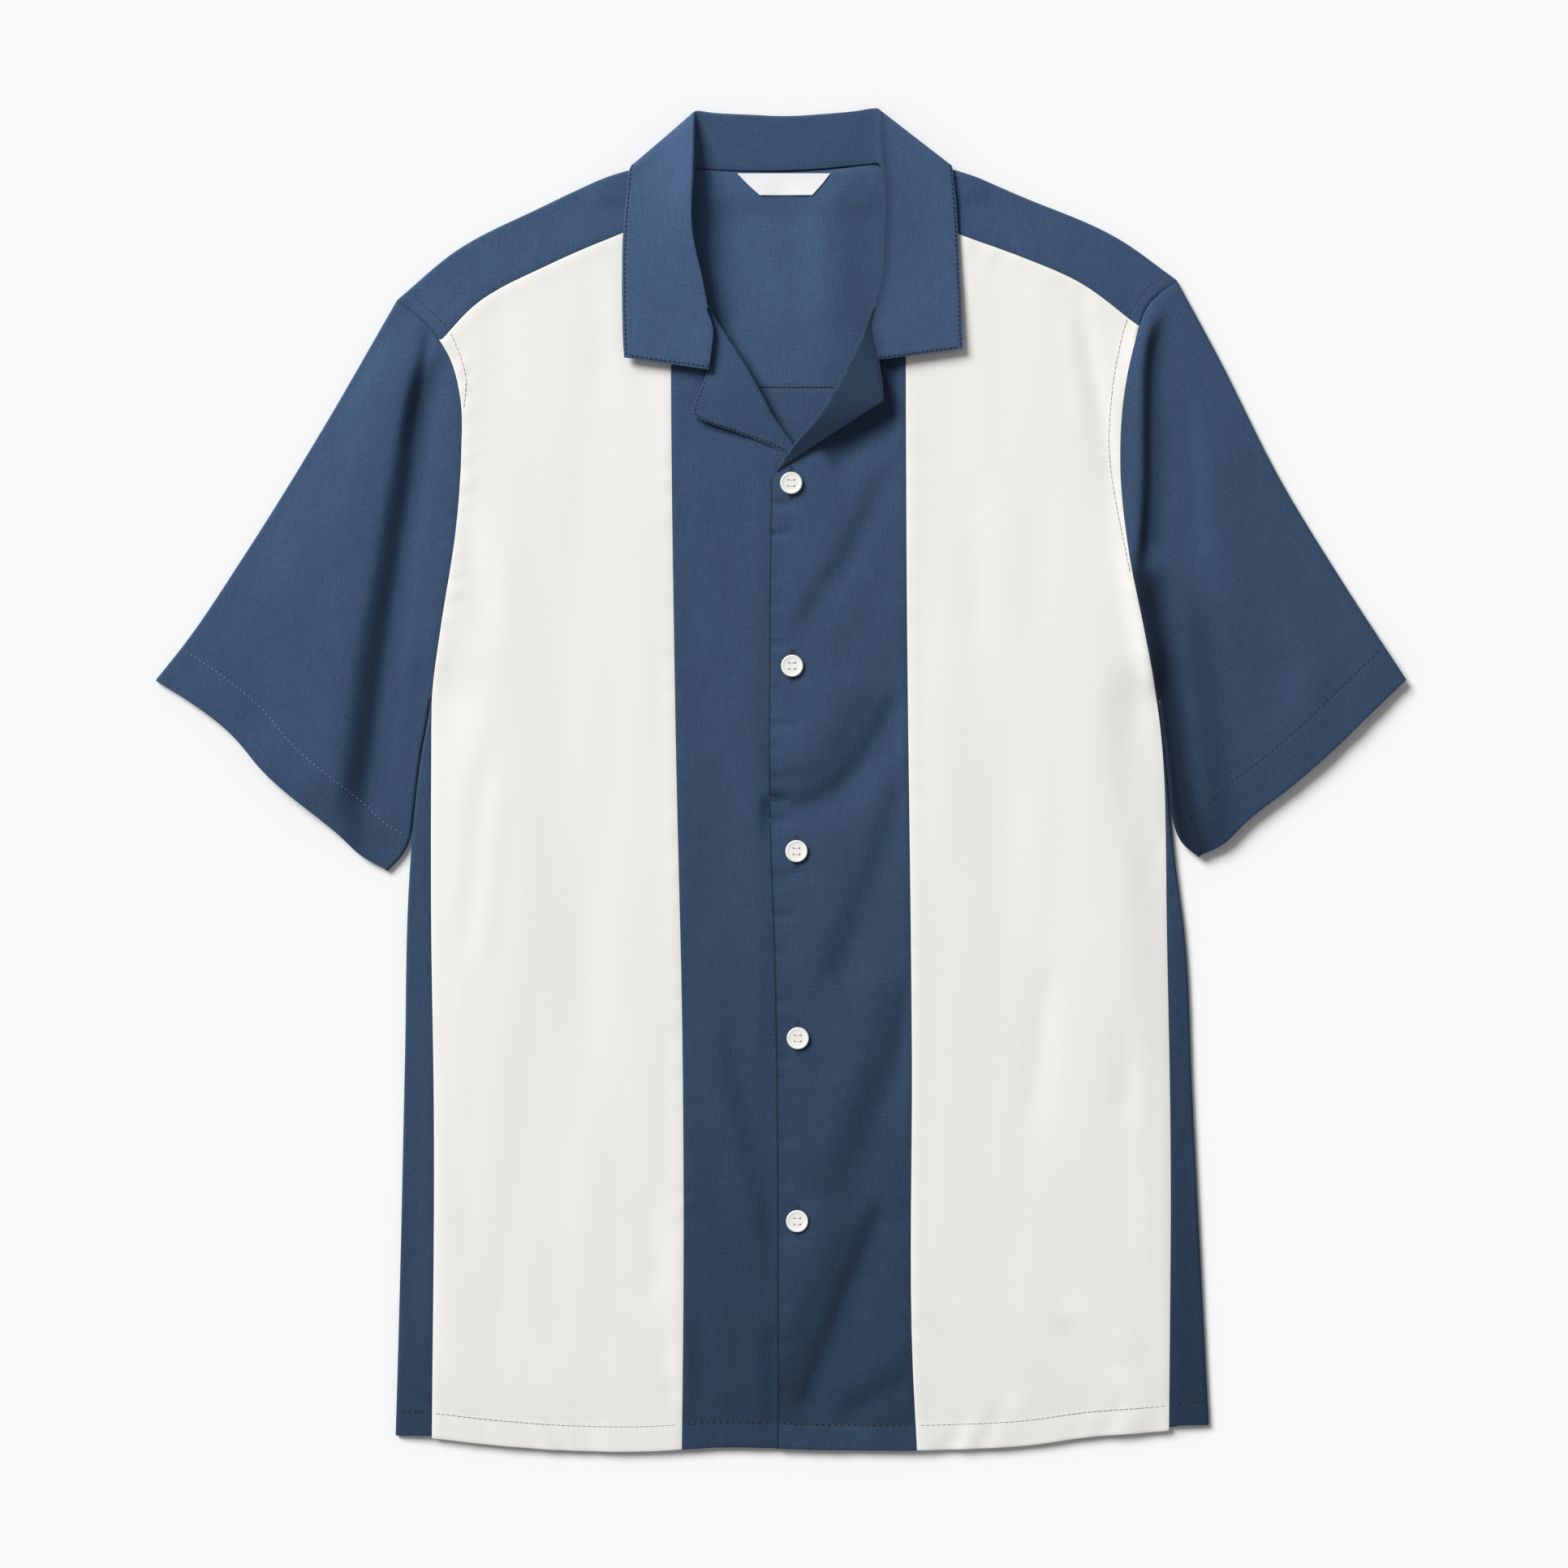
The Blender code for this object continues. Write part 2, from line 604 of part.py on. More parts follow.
def strip_section(side, y):
    """Half a section of the back where it wraps the side: side seam, strip, fold."""
    seam = x_at(SIDE_SEAMS[side.name], y) + side.sign * SEAM / 2
    fold = x_at(SIDE_FOLDS[side.name], y) - side.sign * FOLD_RADIUS
    if side.sign * (fold - seam) < SEAM:
        fold = seam + side.sign * SEAM
    strip = [(x, y, front_top(x, y)) for x in np.linspace(seam, fold, STRIP_COLUMNS + 1)]
    arc = fold_arc((fold, y), (side.sign, 0.0), 0.0, strip[-1][2], FOLD_RADIUS)
    return strip + arc[::-1], fold


def armhole_heights(top):
    """y of the rows along an armhole seam, from the armpit up."""
    return [ARMPIT] + list(np.linspace(ARMPIT + ARMPIT_NOTCH, top, ARMHOLE_ROWS))


def back_panel(look):
    """Back: flat on the floor, wrapped round both sides to the forward side seams."""
    right_hem = y_at(HEM_LINE, SIDE_FOLDS["right"][-1][0])
    left_hem = y_at(HEM_LINE, SIDE_FOLDS["left"][-1][0])
    right_rows, left_rows, floor_rows = [], [], []
    for share in SIDE_SHARES:
        right_y = right_hem + (ARMPIT - right_hem) * share
        left_y = left_hem + (ARMPIT - left_hem) * share
        right, right_fold = strip_section(RIGHT, right_y)
        left, left_fold = strip_section(LEFT, left_y)
        floor = []
        for u in np.linspace(0.0, 1.0, BACK_COLUMNS + 1):
            x = right_fold + (left_fold - right_fold) * u
            straight = right_hem + (left_hem - right_hem) * u
            bow = y_at(HEM_LINE, x) + BACK_HEM_RISE - straight
            y = right_y + (left_y - right_y) * u + bow * (1.0 - share) ** HEM_FADE
            floor.append((x, y, 0.0))
        floor[0] = (right_fold, right_y, 0.0)
        floor[-1] = (left_fold, left_y, 0.0)
        right_rows.append(right + [floor[0]])
        left_rows.append([floor[-1]] + left[::-1])
        floor_rows.append(floor)
    right_line = armhole_line(RIGHT, outside=False)
    left_line = armhole_line(LEFT, outside=False)
    for y in armhole_heights(BACK_YOKE_SEAM - SEAM / 2)[1:]:
        ends = (x_at(right_line, y), x_at(left_line, y))
        floor_rows.append([(x, y, 0.0) for x in np.linspace(*ends, BACK_COLUMNS + 1)])
    grids = [floor_rows, right_rows, left_rows]
    return cloth("back", grids, WALL, look, first_face_up=False)


def armhole_line(side, outside):
    """The armhole seam's edge on the sleeve (outside) or on the body."""
    direction = side.sign * SEAM / 2 if outside else -side.sign * SEAM / 2
    return shifted(ARMHOLES[side.name], direction)


def fold_inset(side):
    """The line where the shoulder and sleeve fold begins, with its outward vectors."""
    line = TOP_FOLDS[side.name]
    outward = normals_of(line) * side.sign
    return line - outward * FOLD_RADIUS, outward


def yoke_half(side):
    """Yoke rows of one side: back layer, shoulder fold, front layer. Columns run armhole to neck."""
    inset, outward = fold_inset(side)
    tip = nearest(TOP_FOLDS[side.name], side.tip)
    fold = spread(inset[: tip + 1][::-1], YOKE_COLUMNS)
    facing = spread(outward[: tip + 1][::-1] + inset[: tip + 1][::-1], YOKE_COLUMNS) - fold
    step = (fold[1] - fold[0]) / np.linalg.norm(fold[1] - fold[0])
    fold[0] += step * SEAM / 2
    edge = armhole_line(side, outside=False)
    seam_y = BACK_YOKE_SEAM + SEAM / 2
    back_edge = at_heights(edge, between(seam_y, fold[0][1], YOKE_BACK_SHARES))
    back_edge[-1] = fold[0]
    neck_x = fold[-1][0]
    back_seam = np.array([(x, seam_y) for x in np.linspace(back_edge[0][0], neck_x, YOKE_COLUMNS + 1)])
    neck_side = np.array([(neck_x, y) for y in between(seam_y, fold[-1][1], YOKE_BACK_SHARES)])
    back = patch(back_seam, fold, back_edge, neck_side)
    rows = [[(*plan, neck_lift(*plan)) for plan in row] for row in back]
    lows = [point[2] for point in rows[-1]]
    highs = [yoke_top(*plan) for plan in fold]
    arcs = [
        fold_arc(plan, vector / np.linalg.norm(vector), low, high, FOLD_RADIUS)
        for plan, vector, low, high in zip(fold, facing, lows, highs)
    ]
    rows += [[arc[part] for arc in arcs] for part in range(FOLD_PARTS - 1)]
    seam = shifted(YOKE_SEAMS[side.name], -side.sign * SEAM / 2)
    seam = spread(seam, YOKE_COLUMNS)
    front_edge = at_heights(edge, np.linspace(fold[0][1], seam[0][1], YOKE_FRONT_ROWS + 1))
    front_edge[0] = fold[0]
    front_edge[-1][0] = x_at(edge, seam[0][1])
    seam[0] = front_edge[-1]
    neck_edge = spread(np.array([fold[-1], seam[-1]]), YOKE_FRONT_ROWS)
    front = patch(fold, seam, front_edge, neck_edge)
    rows += [[(*plan, yoke_top(*plan)) for plan in row] for row in front]
    return rows, neck_side


def yoke_panel(look):
    """Back yoke: up the back, over both shoulders to the front yoke seams, with the neck cut out."""
    right, right_neck = yoke_half(RIGHT)
    left, left_neck = yoke_half(LEFT)
    bottom = np.linspace(right_neck[0], left_neck[0], len(BACK_NECK) + 2)
    neck = np.array([right_neck[-1], *BACK_NECK, left_neck[-1]])
    middle = patch(bottom, neck, right_neck, left_neck)
    middle = [[(*plan, neck_lift(*plan)) for plan in row] for row in middle]
    left = [row[::-1] for row in left]
    return cloth("yoke", [right, middle, left], WALL, look, first_face_up=False)


def side_panel(side, look):
    """Cream front between the armhole and side seam and the princess seam."""
    inset = side.sign * SEAM / 2
    hem_start = SIDE_SEAMS[side.name][-1][0] - inset
    hem_end = PRINCESS_SEAMS[side.name][-1][0] + inset
    hem = at_widths(HEM_LINE, np.linspace(hem_start, hem_end, FRONT_COLUMNS + 1))
    seam = shifted(YOKE_SEAMS[side.name], inset)
    body = armhole_line(side, outside=False)
    start = (x_at(body, seam[0][1]), seam[0][1])
    princess = shifted(PRINCESS_SEAMS[side.name], inset)
    end_x = PRINCESS_SEAMS[side.name][0][0] + inset
    top = at_widths(seam, np.linspace(start[0], end_x, FRONT_COLUMNS + 1))
    outer = at_heights(SIDE_SEAMS[side.name], between(hem[0][1], ARMPIT, SIDE_SHARES))
    outer[:, 0] -= inset
    outer = np.concatenate([outer, at_heights(body, armhole_heights(top[0][1])[1:])])
    outer[0], outer[-1] = hem[0], top[0]
    inner = at_heights(princess, np.linspace(hem[-1][1], top[-1][1], len(outer)))
    inner[0], inner[-1] = hem[-1], top[-1]
    rows = patch(hem, top, outer, inner)
    grid = [[(*plan, front_top(*plan)) for plan in row] for row in rows]
    return cloth(f"front_side_{side.name}", [grid], WALL, look, first_face_up=True)


def lapel_section(panel_end, row, low):
    """The roll's round and the lapel's top face, for one row of a front centre panel."""
    roll = np.array([row.roll_x, row.roll_y])
    outward = (roll - panel_end) / np.linalg.norm(roll - panel_end)
    reach = np.linalg.norm(roll - panel_end)
    arc = fold_arc(panel_end, outward, low, row.crest, reach)
    edge = np.array([row.edge_x, row.edge_y])
    lapel = []
    for u in np.linspace(0.0, 1.0, LAPEL_COLUMNS + 1):
        plan = panel_end * (1.0 - u) + edge * u
        lapel.append((*plan, row.crest + (row.edge_top - row.crest) * u))
    return arc + lapel


def center_panel(side, look, top_of):
    """Blue front with its turned-back lapel, drawn on its under face and the lapel's top."""
    rows_of = LAPELS[side.name]
    roll = np.array([(row.roll_x, row.roll_y) for row in rows_of])
    inner = roll + normals_of(roll) * side.sign * ROLL_REACH
    neck_edge = smooth_line(NECK_EDGES[side.name])
    front_edge = smooth_line(FRONT_EDGES[side.name])
    seam = shifted(YOKE_SEAMS[side.name], side.sign * SEAM / 2)
    princess = shifted(PRINCESS_SEAMS[side.name], -side.sign * SEAM / 2)
    edge_y = np.linspace(y_at(HEM_LINE, front_edge[-1][0]), front_edge[0][1], EDGE_ROWS + 1)
    neck_y = np.linspace(neck_edge[-1][1], y_at(seam, neck_edge[0][0]), NECK_ROWS)
    ends = [at_heights(front_edge, edge_y), inner[::-1], at_heights(neck_edge, neck_y)]
    ends = np.concatenate(ends)
    start_y = (y_at(HEM_LINE, princess[-1][0]), y_at(seam, princess[0][0]))
    starts = at_heights(princess, np.interp(ends[:, 1], (ends[0][1], ends[-1][1]), start_y))
    hem = at_widths(HEM_LINE, np.linspace(starts[0][0], ends[0][0], CENTER_COLUMNS + 1))
    top = at_widths(seam, np.linspace(starts[-1][0], ends[-1][0], CENTER_COLUMNS + 1))
    rows = patch(hem, top, starts, ends)
    panel = [[(*plan, top_of(*plan) - WALL) for plan in row] for row in rows]
    first = EDGE_ROWS + 1
    lapel = []
    for place, row in enumerate(rows_of[::-1]):
        end = panel[first + place][-1]
        lapel.append([end] + lapel_section(np.array(end[:2]), row, end[2]))
    return cloth(f"front_center_{side.name}", [panel, lapel], WALL, look, first_face_up=False)


def collar_section(plan, heights):
    """Points of one collar section: stand, roll and fall, or only the fall where no stand is left."""
    roll = np.array([plan.roll_x, plan.roll_y])
    edge = np.array([plan.edge_x, plan.edge_y])
    across = (edge - roll) / np.linalg.norm(edge - roll)
    if heights.stand:
        neck = np.array([plan.neck_x, plan.neck_y])
        down = (neck - roll) / np.linalg.norm(neck - roll)
        stand_end = np.array([*(roll + down * STAND_ROUND), heights.stand_z])
        fall_start = np.array([*(roll + across * FALL_ROUND), heights.fall_z])
    else:
        fall_start = np.array([*roll, heights.fall_z])
    fall = []
    for u in np.linspace(0.0, 1.0, FALL_PARTS + 1):
        flat = fall_start[:2] * (1.0 - u) + edge * u
        fall.append((*flat, heights.edge_z + (heights.fall_z - heights.edge_z) * (1.0 - u) ** DROOP))
    if not heights.stand:
        return [], fall
    start = np.array([*neck, heights.neck_z])
    stand = [tuple(start + (stand_end - start) * u) for u in np.linspace(0.0, 1.0, STAND_PARTS + 1)]
    up = (stand_end - start) / np.linalg.norm(stand_end - start)
    back = fall_start - np.array(fall[1])
    back /= np.linalg.norm(back)
    handle = np.linalg.norm(fall_start - stand_end) * ROLL_FULLNESS
    corners = (stand_end, stand_end + up * handle, fall_start + back * handle, fall_start)
    curve = []
    for t in np.linspace(0.0, 1.0, ROLL_PARTS + 1)[1:-1]:
        weights = ((1 - t) ** 3, 3 * t * (1 - t) ** 2, 3 * t * t * (1 - t), t**3)
        curve.append(tuple(sum(weight * corner for weight, corner in zip(weights, corners))))
    return stand + curve + [fall[0]], fall


def collar_piece(look):
    """Camp collar: both wings, the shoulder folds and the back, as sections along the roll."""
    sections = [collar_section(*pair) for pair in zip(COLLAR_PLANS["right"], COLLAR_HEIGHTS)]
    sections.append(collar_section(COLLAR_MIDDLE, COLLAR_HEIGHTS[-1]))
    sections += [collar_section(*pair) for pair in zip(COLLAR_PLANS["left"], COLLAR_HEIGHTS)][::-1]
    falls = [fall for _, fall in sections]
    stands = [stand for stand, _ in sections if stand]
    return cloth("collar", [falls, stands], COLLAR_WALL, look, first_face_up=True)


def sleeve_layer(side, outer, underarm, seam_y, seam_shares, cuff_shares, height_of):
    """Rows of one layer of a sleeve, from its outer fold to the armhole and the underarm fold."""
    edge = armhole_line(side, outside=True)
    first = at_heights(edge, between(outer[0][1], seam_y, seam_shares))
    first[0] = outer[0]
    armhole = at_heights(edge, armhole_heights(seam_y)[:0:-1])
    armhole[0] = first[-1]
    inner = np.concatenate([armhole, underarm])
    cuff = smooth_line([outer[-1], *side.cuff, underarm[-1]])
    rows = patch(first, at_shares(cuff, cuff_shares), outer, inner)
    return [[(*plan, height_of(*plan)) for plan in row] for row in rows]


def sleeve_piece(side, look):
    """Sleeve: one flattened tube from the armhole to the cuff, folded outside and underneath."""
    inset, outward = fold_inset(side)
    tip = nearest(TOP_FOLDS[side.name], side.tip)
    rows = ARMHOLE_ROWS + UNDERARM_ROWS
    outer = spread(inset[tip:], rows)
    outer_facing = spread((inset + outward)[tip:], rows) - outer
    outer[0] += (outer[1] - outer[0]) / np.linalg.norm(outer[1] - outer[0]) * SEAM
    fold = UNDERARMS[side.name]
    under_out = -normals_of(fold) * side.sign
    underarm = spread(fold - under_out * FOLD_RADIUS, UNDERARM_ROWS)
    under_facing = spread(fold - under_out * (FOLD_RADIUS - 1.0), UNDERARM_ROWS) - underarm
    front_seam = YOKE_SEAMS[side.name][0][1]
    borders = (side, outer, underarm)
    upper = sleeve_layer(*borders, front_seam, SLEEVE_TOP_SHARES, CUFF_TOP_SHARES, front_top)
    back_seam = BACK_YOKE_SEAM
    under = sleeve_layer(*borders, back_seam, SLEEVE_BACK_SHARES, CUFF_UNDER_SHARES, floor_level)
    outer_fold = [
        [below[0]] + fold_arc(plan, facing, 0.0, above[0][2], FOLD_RADIUS) + [above[0]]
        for plan, facing, above, below in zip(outer, outer_facing, upper, under)
    ]
    inner_fold = [
        [above[-1]] + fold_arc(plan, facing, 0.0, above[-1][2], FOLD_RADIUS)[::-1] + [below[-1]]
        for plan, facing, above, below in zip(
            underarm, under_facing, upper[ARMHOLE_ROWS:], under[ARMHOLE_ROWS:]
        )
    ]
    under = [row[::-1] for row in under]
    grids = [upper, outer_fold, inner_fold, under]
    return cloth(f"sleeve_{side.name}", grids, WALL, look, first_face_up=True)


def neck_label(look):
    """Bare label below the back neck seam, lying on the yoke's inner face."""
    grid = []
    lift = WALL + SEAM + LABEL_WALL
    for row in LABEL:
        across = np.linspace(row.x1, row.x2, LABEL_COLUMNS + 1)
        grid.append([(x, row.y, neck_lift(x, row.y) + lift) for x in across])
    return cloth("neck_label", [grid], LABEL_WALL, look, first_face_up=True)


def button(number, center, look):
    """Four-hole shirt button with a raised rim, lying on the left front."""
    x, y = center
    around = [(x + BUTTON_RADIUS * i, y + BUTTON_RADIUS * j) for i in (-1, 0, 1) for j in (-1, 0, 1)]
    base = max(over_front_top(*plan) for plan in around) + SEAM
    form = bmesh.new()
    bmesh.ops.create_cone(
        form,
        cap_ends=True,
        segments=BUTTON_SIDES,
        radius1=BUTTON_RADIUS * MM,
        radius2=BUTTON_RADIUS * MM,
        depth=BUTTON_HEIGHT * MM,
    )
    caps = [face for face in form.faces if abs(face.normal.z) > LEVEL]
    bmesh.ops.bevel(
        form,
        geom=[edge for face in caps for edge in face.edges],
        offset=BUTTON_EDGE * MM,
        segments=BUTTON_EDGE_PARTS,
        affect="EDGES",
        profile=0.5,
        material=-1,
    )
    faces_up = [face for face in form.faces if face.normal.z > LEVEL]
    top = max(faces_up, key=lambda face: face.calc_area())
    bmesh.ops.inset_region(form, faces=[top], thickness=BUTTON_RIM * MM, depth=0.0)
    bmesh.ops.translate(form, verts=top.verts, vec=(0.0, 0.0, -BUTTON_DISH * MM))
    mesh = bpy.data.meshes.new(f"button_{number}")
    form.to_mesh(mesh)
    form.free()
    mesh.shade_smooth()
    mesh.set_sharp_from_angle(angle=math.radians(SHARP_ANGLE))
    piece = bpy.data.objects.new(f"button_{number}", mesh)
    bpy.context.scene.collection.objects.link(piece)
    piece.location = (x * MM, y * MM, (base + BUTTON_HEIGHT / 2) * MM)
    piece.data.materials.append(material_of(mesh.name, look))
    holes = piece.modifiers.new("Holes", "BOOLEAN")
    holes.operation = "DIFFERENCE"
    holes.solver = "EXACT"
    holes.object = hole_cutter(number)
    holes.object.location = piece.location
    return piece


def hole_cutter(number):
    """The four thread holes of a button, as one cutter."""
    form = bmesh.new()
    for i in (-1, 1):
        for j in (-1, 1):
            made = bmesh.ops.create_cone(
                form,
                cap_ends=True,
                segments=HOLE_SIDES,
                radius1=HOLE_RADIUS * MM,
                radius2=HOLE_RADIUS * MM,
                depth=CUTTER_LENGTH * MM,
            )
            place = (i * HOLE_PLACE * MM, j * HOLE_PLACE * MM, 0.0)
            bmesh.ops.translate(form, verts=made["verts"], vec=place)
    mesh = bpy.data.meshes.new(f"cutter_{number}")
    form.to_mesh(mesh)
    form.free()
    cutter = bpy.data.objects.new(f"cutter_{number}", mesh)
    cutter.hide_render = True
    cutter.display_type = "WIRE"
    bpy.context.scene.collection.objects.link(cutter)
    return cutter


def build():
    for old in list(bpy.data.objects):
        bpy.data.objects.remove(old)
    back_panel(BLUE)
    yoke_panel(BLUE)
    for side in (RIGHT, LEFT):
        side_panel(side, CREAM)
        sleeve_piece(side, BLUE)
    center_panel(RIGHT, BLUE, under_front_top)
    center_panel(LEFT, BLUE, over_front_top)
    collar_piece(BLUE)
    neck_label(LABEL_WHITE)
    for number, center in enumerate(BUTTON_CENTERS, start=1):
        button(number, center, BUTTON_WHITE)


build()
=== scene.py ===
"""Bowling shirt with a camp collar, buttoned and laid flat with its front up.

The collar points to +Y, and the wearer's left is at +X. Tables are in millimetres, and a mesh
gets its points in metres. Each cut piece is one sheet: grids laid on its outer face, sewn
together, with the wall put on inside. Right and left are the wearer's.
"""

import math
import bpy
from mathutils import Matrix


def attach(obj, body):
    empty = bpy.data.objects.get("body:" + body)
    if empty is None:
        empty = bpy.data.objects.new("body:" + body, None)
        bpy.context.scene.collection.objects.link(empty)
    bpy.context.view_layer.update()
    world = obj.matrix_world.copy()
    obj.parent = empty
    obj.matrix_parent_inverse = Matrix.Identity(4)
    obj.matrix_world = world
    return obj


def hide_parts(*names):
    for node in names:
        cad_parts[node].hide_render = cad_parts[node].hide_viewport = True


bl_info = {
    "name": "Bowling Shirt",
    "version": (1, 0, 0),
    "blender": (4, 5, 0),
    "location": "3D View > Sidebar > Shirt",
    "description": "Cuts, sews and lays out a short-sleeved bowling shirt with a camp collar",
    "category": "Object",
}

from collections import namedtuple

import bmesh
import bpy
import numpy as np
from mathutils import Matrix, Vector

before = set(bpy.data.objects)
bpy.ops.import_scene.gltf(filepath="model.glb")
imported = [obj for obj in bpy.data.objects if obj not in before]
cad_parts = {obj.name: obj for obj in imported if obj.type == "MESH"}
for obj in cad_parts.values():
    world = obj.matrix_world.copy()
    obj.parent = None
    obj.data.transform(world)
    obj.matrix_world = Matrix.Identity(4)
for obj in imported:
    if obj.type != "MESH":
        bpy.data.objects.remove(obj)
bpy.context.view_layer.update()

# Units and joins
MM = 0.001
JOIN = 0.02  # points of one piece this close are one point, in millimetres
SEAM = 0.1  # space between two pieces at a seam
STEP = 3.4  # distance between two lines of a grid
STEPS = 8  # steps between two points of a smooth line
EDGE_OFFSETS = (0.0, 0.4, 0.9, 1.5, 2.3, 3.4, 5.0, 7.2)  # closer lines beside an edge
FOLD_PARTS = 7

# Heights of the flat shirt, in millimetres
FOLD_HEIGHT = 3.4  # over both layers at a folded edge
FOLD_RADIUS = FOLD_HEIGHT / 2
FILL = 2.4  # how much higher the front lies away from the folded edges
EDGE_REACH = 34.0  # distance from a folded edge to the full height
OPEN_REACH = 45.0  # the same from the hem or a cuff
OPEN_SHARE = 0.5  # part of the fill that is left at the hem and cuffs
RELIEF_START = 2.0  # creases begin this far outside a folded edge
RELIEF_REACH = 15.0  # length over which they grow to their full depth
LOWEST_TOP = 2.6
HIGHEST_TOP = 12.0
COVERED_TOP = 6.1  # under the collar and the lapels
COVER_START = 206.0  # y where they begin
COVER_FADE = 22.0
COVER_MIDDLE = 6.0  # x of their middle
COVER_WIDTH = 110.0  # from there to the wings' ends
COVER_SIDE_FADE = 12.0
UNDER_LOWEST = 1.9  # the right front over the back
LIMIT_EASE = 0.35
COLLAR_LIFT = 1.9  # the back neck lies on the collar's fall
LIFT_START = 321.0  # y where that lift begins
LIFT_FULL = 335.0
LIFT_WIDTH = 120.0  # where it ends to the sides, from the neck's middle
LIFT_FADE = 14.0
NECK_FADE = 12.0  # the creases inside the neck grow over this length
MIDDLE = 5.0  # x of the neck's middle

# Front overlap, in millimetres
UNDER_DROP = 0.55  # the right front lies this much lower under the left one
DROP_START = -13.0  # x where the drop begins
DROP_FULL = -6.5
OVER_RISE = 0.55  # and the left front this much higher
OVER_START = 42.0
OVER_FULL = 24.0
CROSSING = (7.0, 181.0)  # where the left front climbs over the right lapel
CROSSING_RISE = 1.3
CROSSING_REACH = 28.0
CENTER_FADE = 7.0  # the centre panels' creases end this close to their seams
PUCKER_START = 8.0  # a pucker begins this far outside the front edge
PUCKER_WIDTHS = (1.8, 2.6)
PUCKER_DEPTH = -1.7

# Seam heights along the shirt, y in millimetres
BACK_YOKE_SEAM = 225.0
ARMPIT = 44.0
ARMPIT_NOTCH = 0.5
UNDERARM_END = -14.0  # down to here the sleeve lies this close to the body
UNDERARM_SPACE = 0.15
HEM_FADE = 4  # power with which the hem's bow fades up the back

# Seam and edge marks in the cloth, in millimetres
SEAM_DIP = 0.14
SEAM_DIP_WIDTH = 0.9
YOKE_SEAM_DIP = 0.6  # where the sleeve joins the yoke
YOKE_SEAM_END = 250.0  # y above which it does
ALLOWANCE = 0.16  # ridge of the turned seam allowance
ALLOWANCE_PLACE = 4.2
ALLOWANCE_WIDTH = 3.2
EDGE_ROLL = 0.3
EDGE_ROLL_WIDTH = 0.8
FRONT_ROLL = 0.12  # at the front edges, which are pressed flat
CUFF_LIFT = 2.2  # the left sleeve's end over the floor
CUFF_LIFT_REACH = 75.0
HEM_DEPTH = 14.5  # stitch line above the hem
CUFF_DEPTH = 23.0
BAND_RISE = 0.22  # the turned-up band is this much thicker
BAND_END = 1.2  # it ends this far past its stitches
BAND_STEP = 2.0
GROOVE = 0.26
GROOVE_WIDTH = 0.7
ARMHOLE_GROOVE = 0.7  # part of that groove at the armhole
MARKS_START = 4.0  # marks and gathers begin this far outside a folded edge
MARKS_REACH = 8.0

# Collar and lapel edges
TOPSTITCH = 1.5  # distance from the edge
TOPSTITCH_GROOVE = 0.12
TOPSTITCH_WIDTH = 0.45
TOPSTITCH_RIDGE = 4.0  # the cloth swells beside the stitches, this far from the edge
TOPSTITCH_RIDGE_WIDTH = 2.5
FLAT_WING = 5.0  # no such marks where the fall's edge is lower
FLAT_WING_FADE = 2.0
STAND_ROUND = 1.6
FALL_ROUND = 2.4
ROLL_FULLNESS = 0.62
DROOP = 1.5
ROLL_REACH = 1.5
STAND_START = 3  # the first collar row that has a stand
STAND_PARTS = 8
ROLL_PARTS = 9
FALL_LINES = 26

# Grids: nominal widths and steps in millimetres, and counts of lines
BACK_STEP, WRAP_STEP, BACK_COLUMNS, UPPER_BACK_ROWS = 4.0, 2.2, 48, 50
YOKE_WIDTH, YOKE_ROWS, YOKE_DROP, YOKE_STEP = 150.0, 34, 26.0, 2.4
CENTER_WIDTH, EDGE_STEP, EDGE_FADE, NECK_ROWS = 90.0, 2.1, 4.0, 16
LAPEL_WIDTH, LAPEL_STEP, LAPEL_FADE = 40.0, 2.0, 8.0
COLLAR_WIDTH = 46.0
SLEEVE_WIDTH, HOLE_ROWS, UNDER_ROWS = 140.0, 62, 36
LABEL_WIDTH, LABEL_STEP = 50.0, 1.6
LABEL_WAVE, LABEL_WAVE_LENGTH, LABEL_FADE = 0.35, 7.5, 12.0

# A sheet's wall: faces that count as level, the bevel's share of the wall, its least angle
LEVEL = 0.9
EDGE_SHARE = 0.3
EDGE_ANGLE = 55.0

# Turn of the warp from the shirt's length, in degrees
SIDE_TURN = 2.0
LAPEL_TURN = 10.0
SLEEVE_TURN = 20.0

# Buttons, in millimetres
BUTTON_RADIUS = 6.35
BUTTON_HEIGHT = 2.4
BUTTON_SIDES = 48
HOLE_RADIUS = 0.5
HOLE_PLACE = 1.75
HOLE_SIDES = 16
BUTTON_FACE = 1.95  # height of the thread's foot in the dish
BUTTON_SHARP = 38.0  # edges steeper than this many degrees stay sharp
BUTTON_SEAT = 0.75  # part of the radius where the button rests on the cloth
BUTTON_PROFILE = (  # half a section, from the middle of the face round to the back
    (0, 2.02), (2.9, 2.02), (3.9, 2.04), (4.5, 2.1), (5, 2.22), (5.4, 2.36), (5.75, 2.4),
    (6.08, 2.31), (6.28, 2.06), (6.35, 1.6), (6.22, 0.9), (5.7, 0.3), (4.7, 0), (0, 0),
)
THREAD_RISE = 0.12  # the thread's bow over the dish
THREAD_DIP = 0.7  # how far it goes down into the holes
THREAD_OFFSET = 0.14  # the two strands between two holes, from their middle
BUTTON_SINK = 0.5  # the cloth gives way under a button
BUTTON_SINK_REACH = 9.0
BUTTON_CENTERS = ((6, 169.5), (6.5, 65), (9, -41), (9.8, -148), (9.4, -252.5))

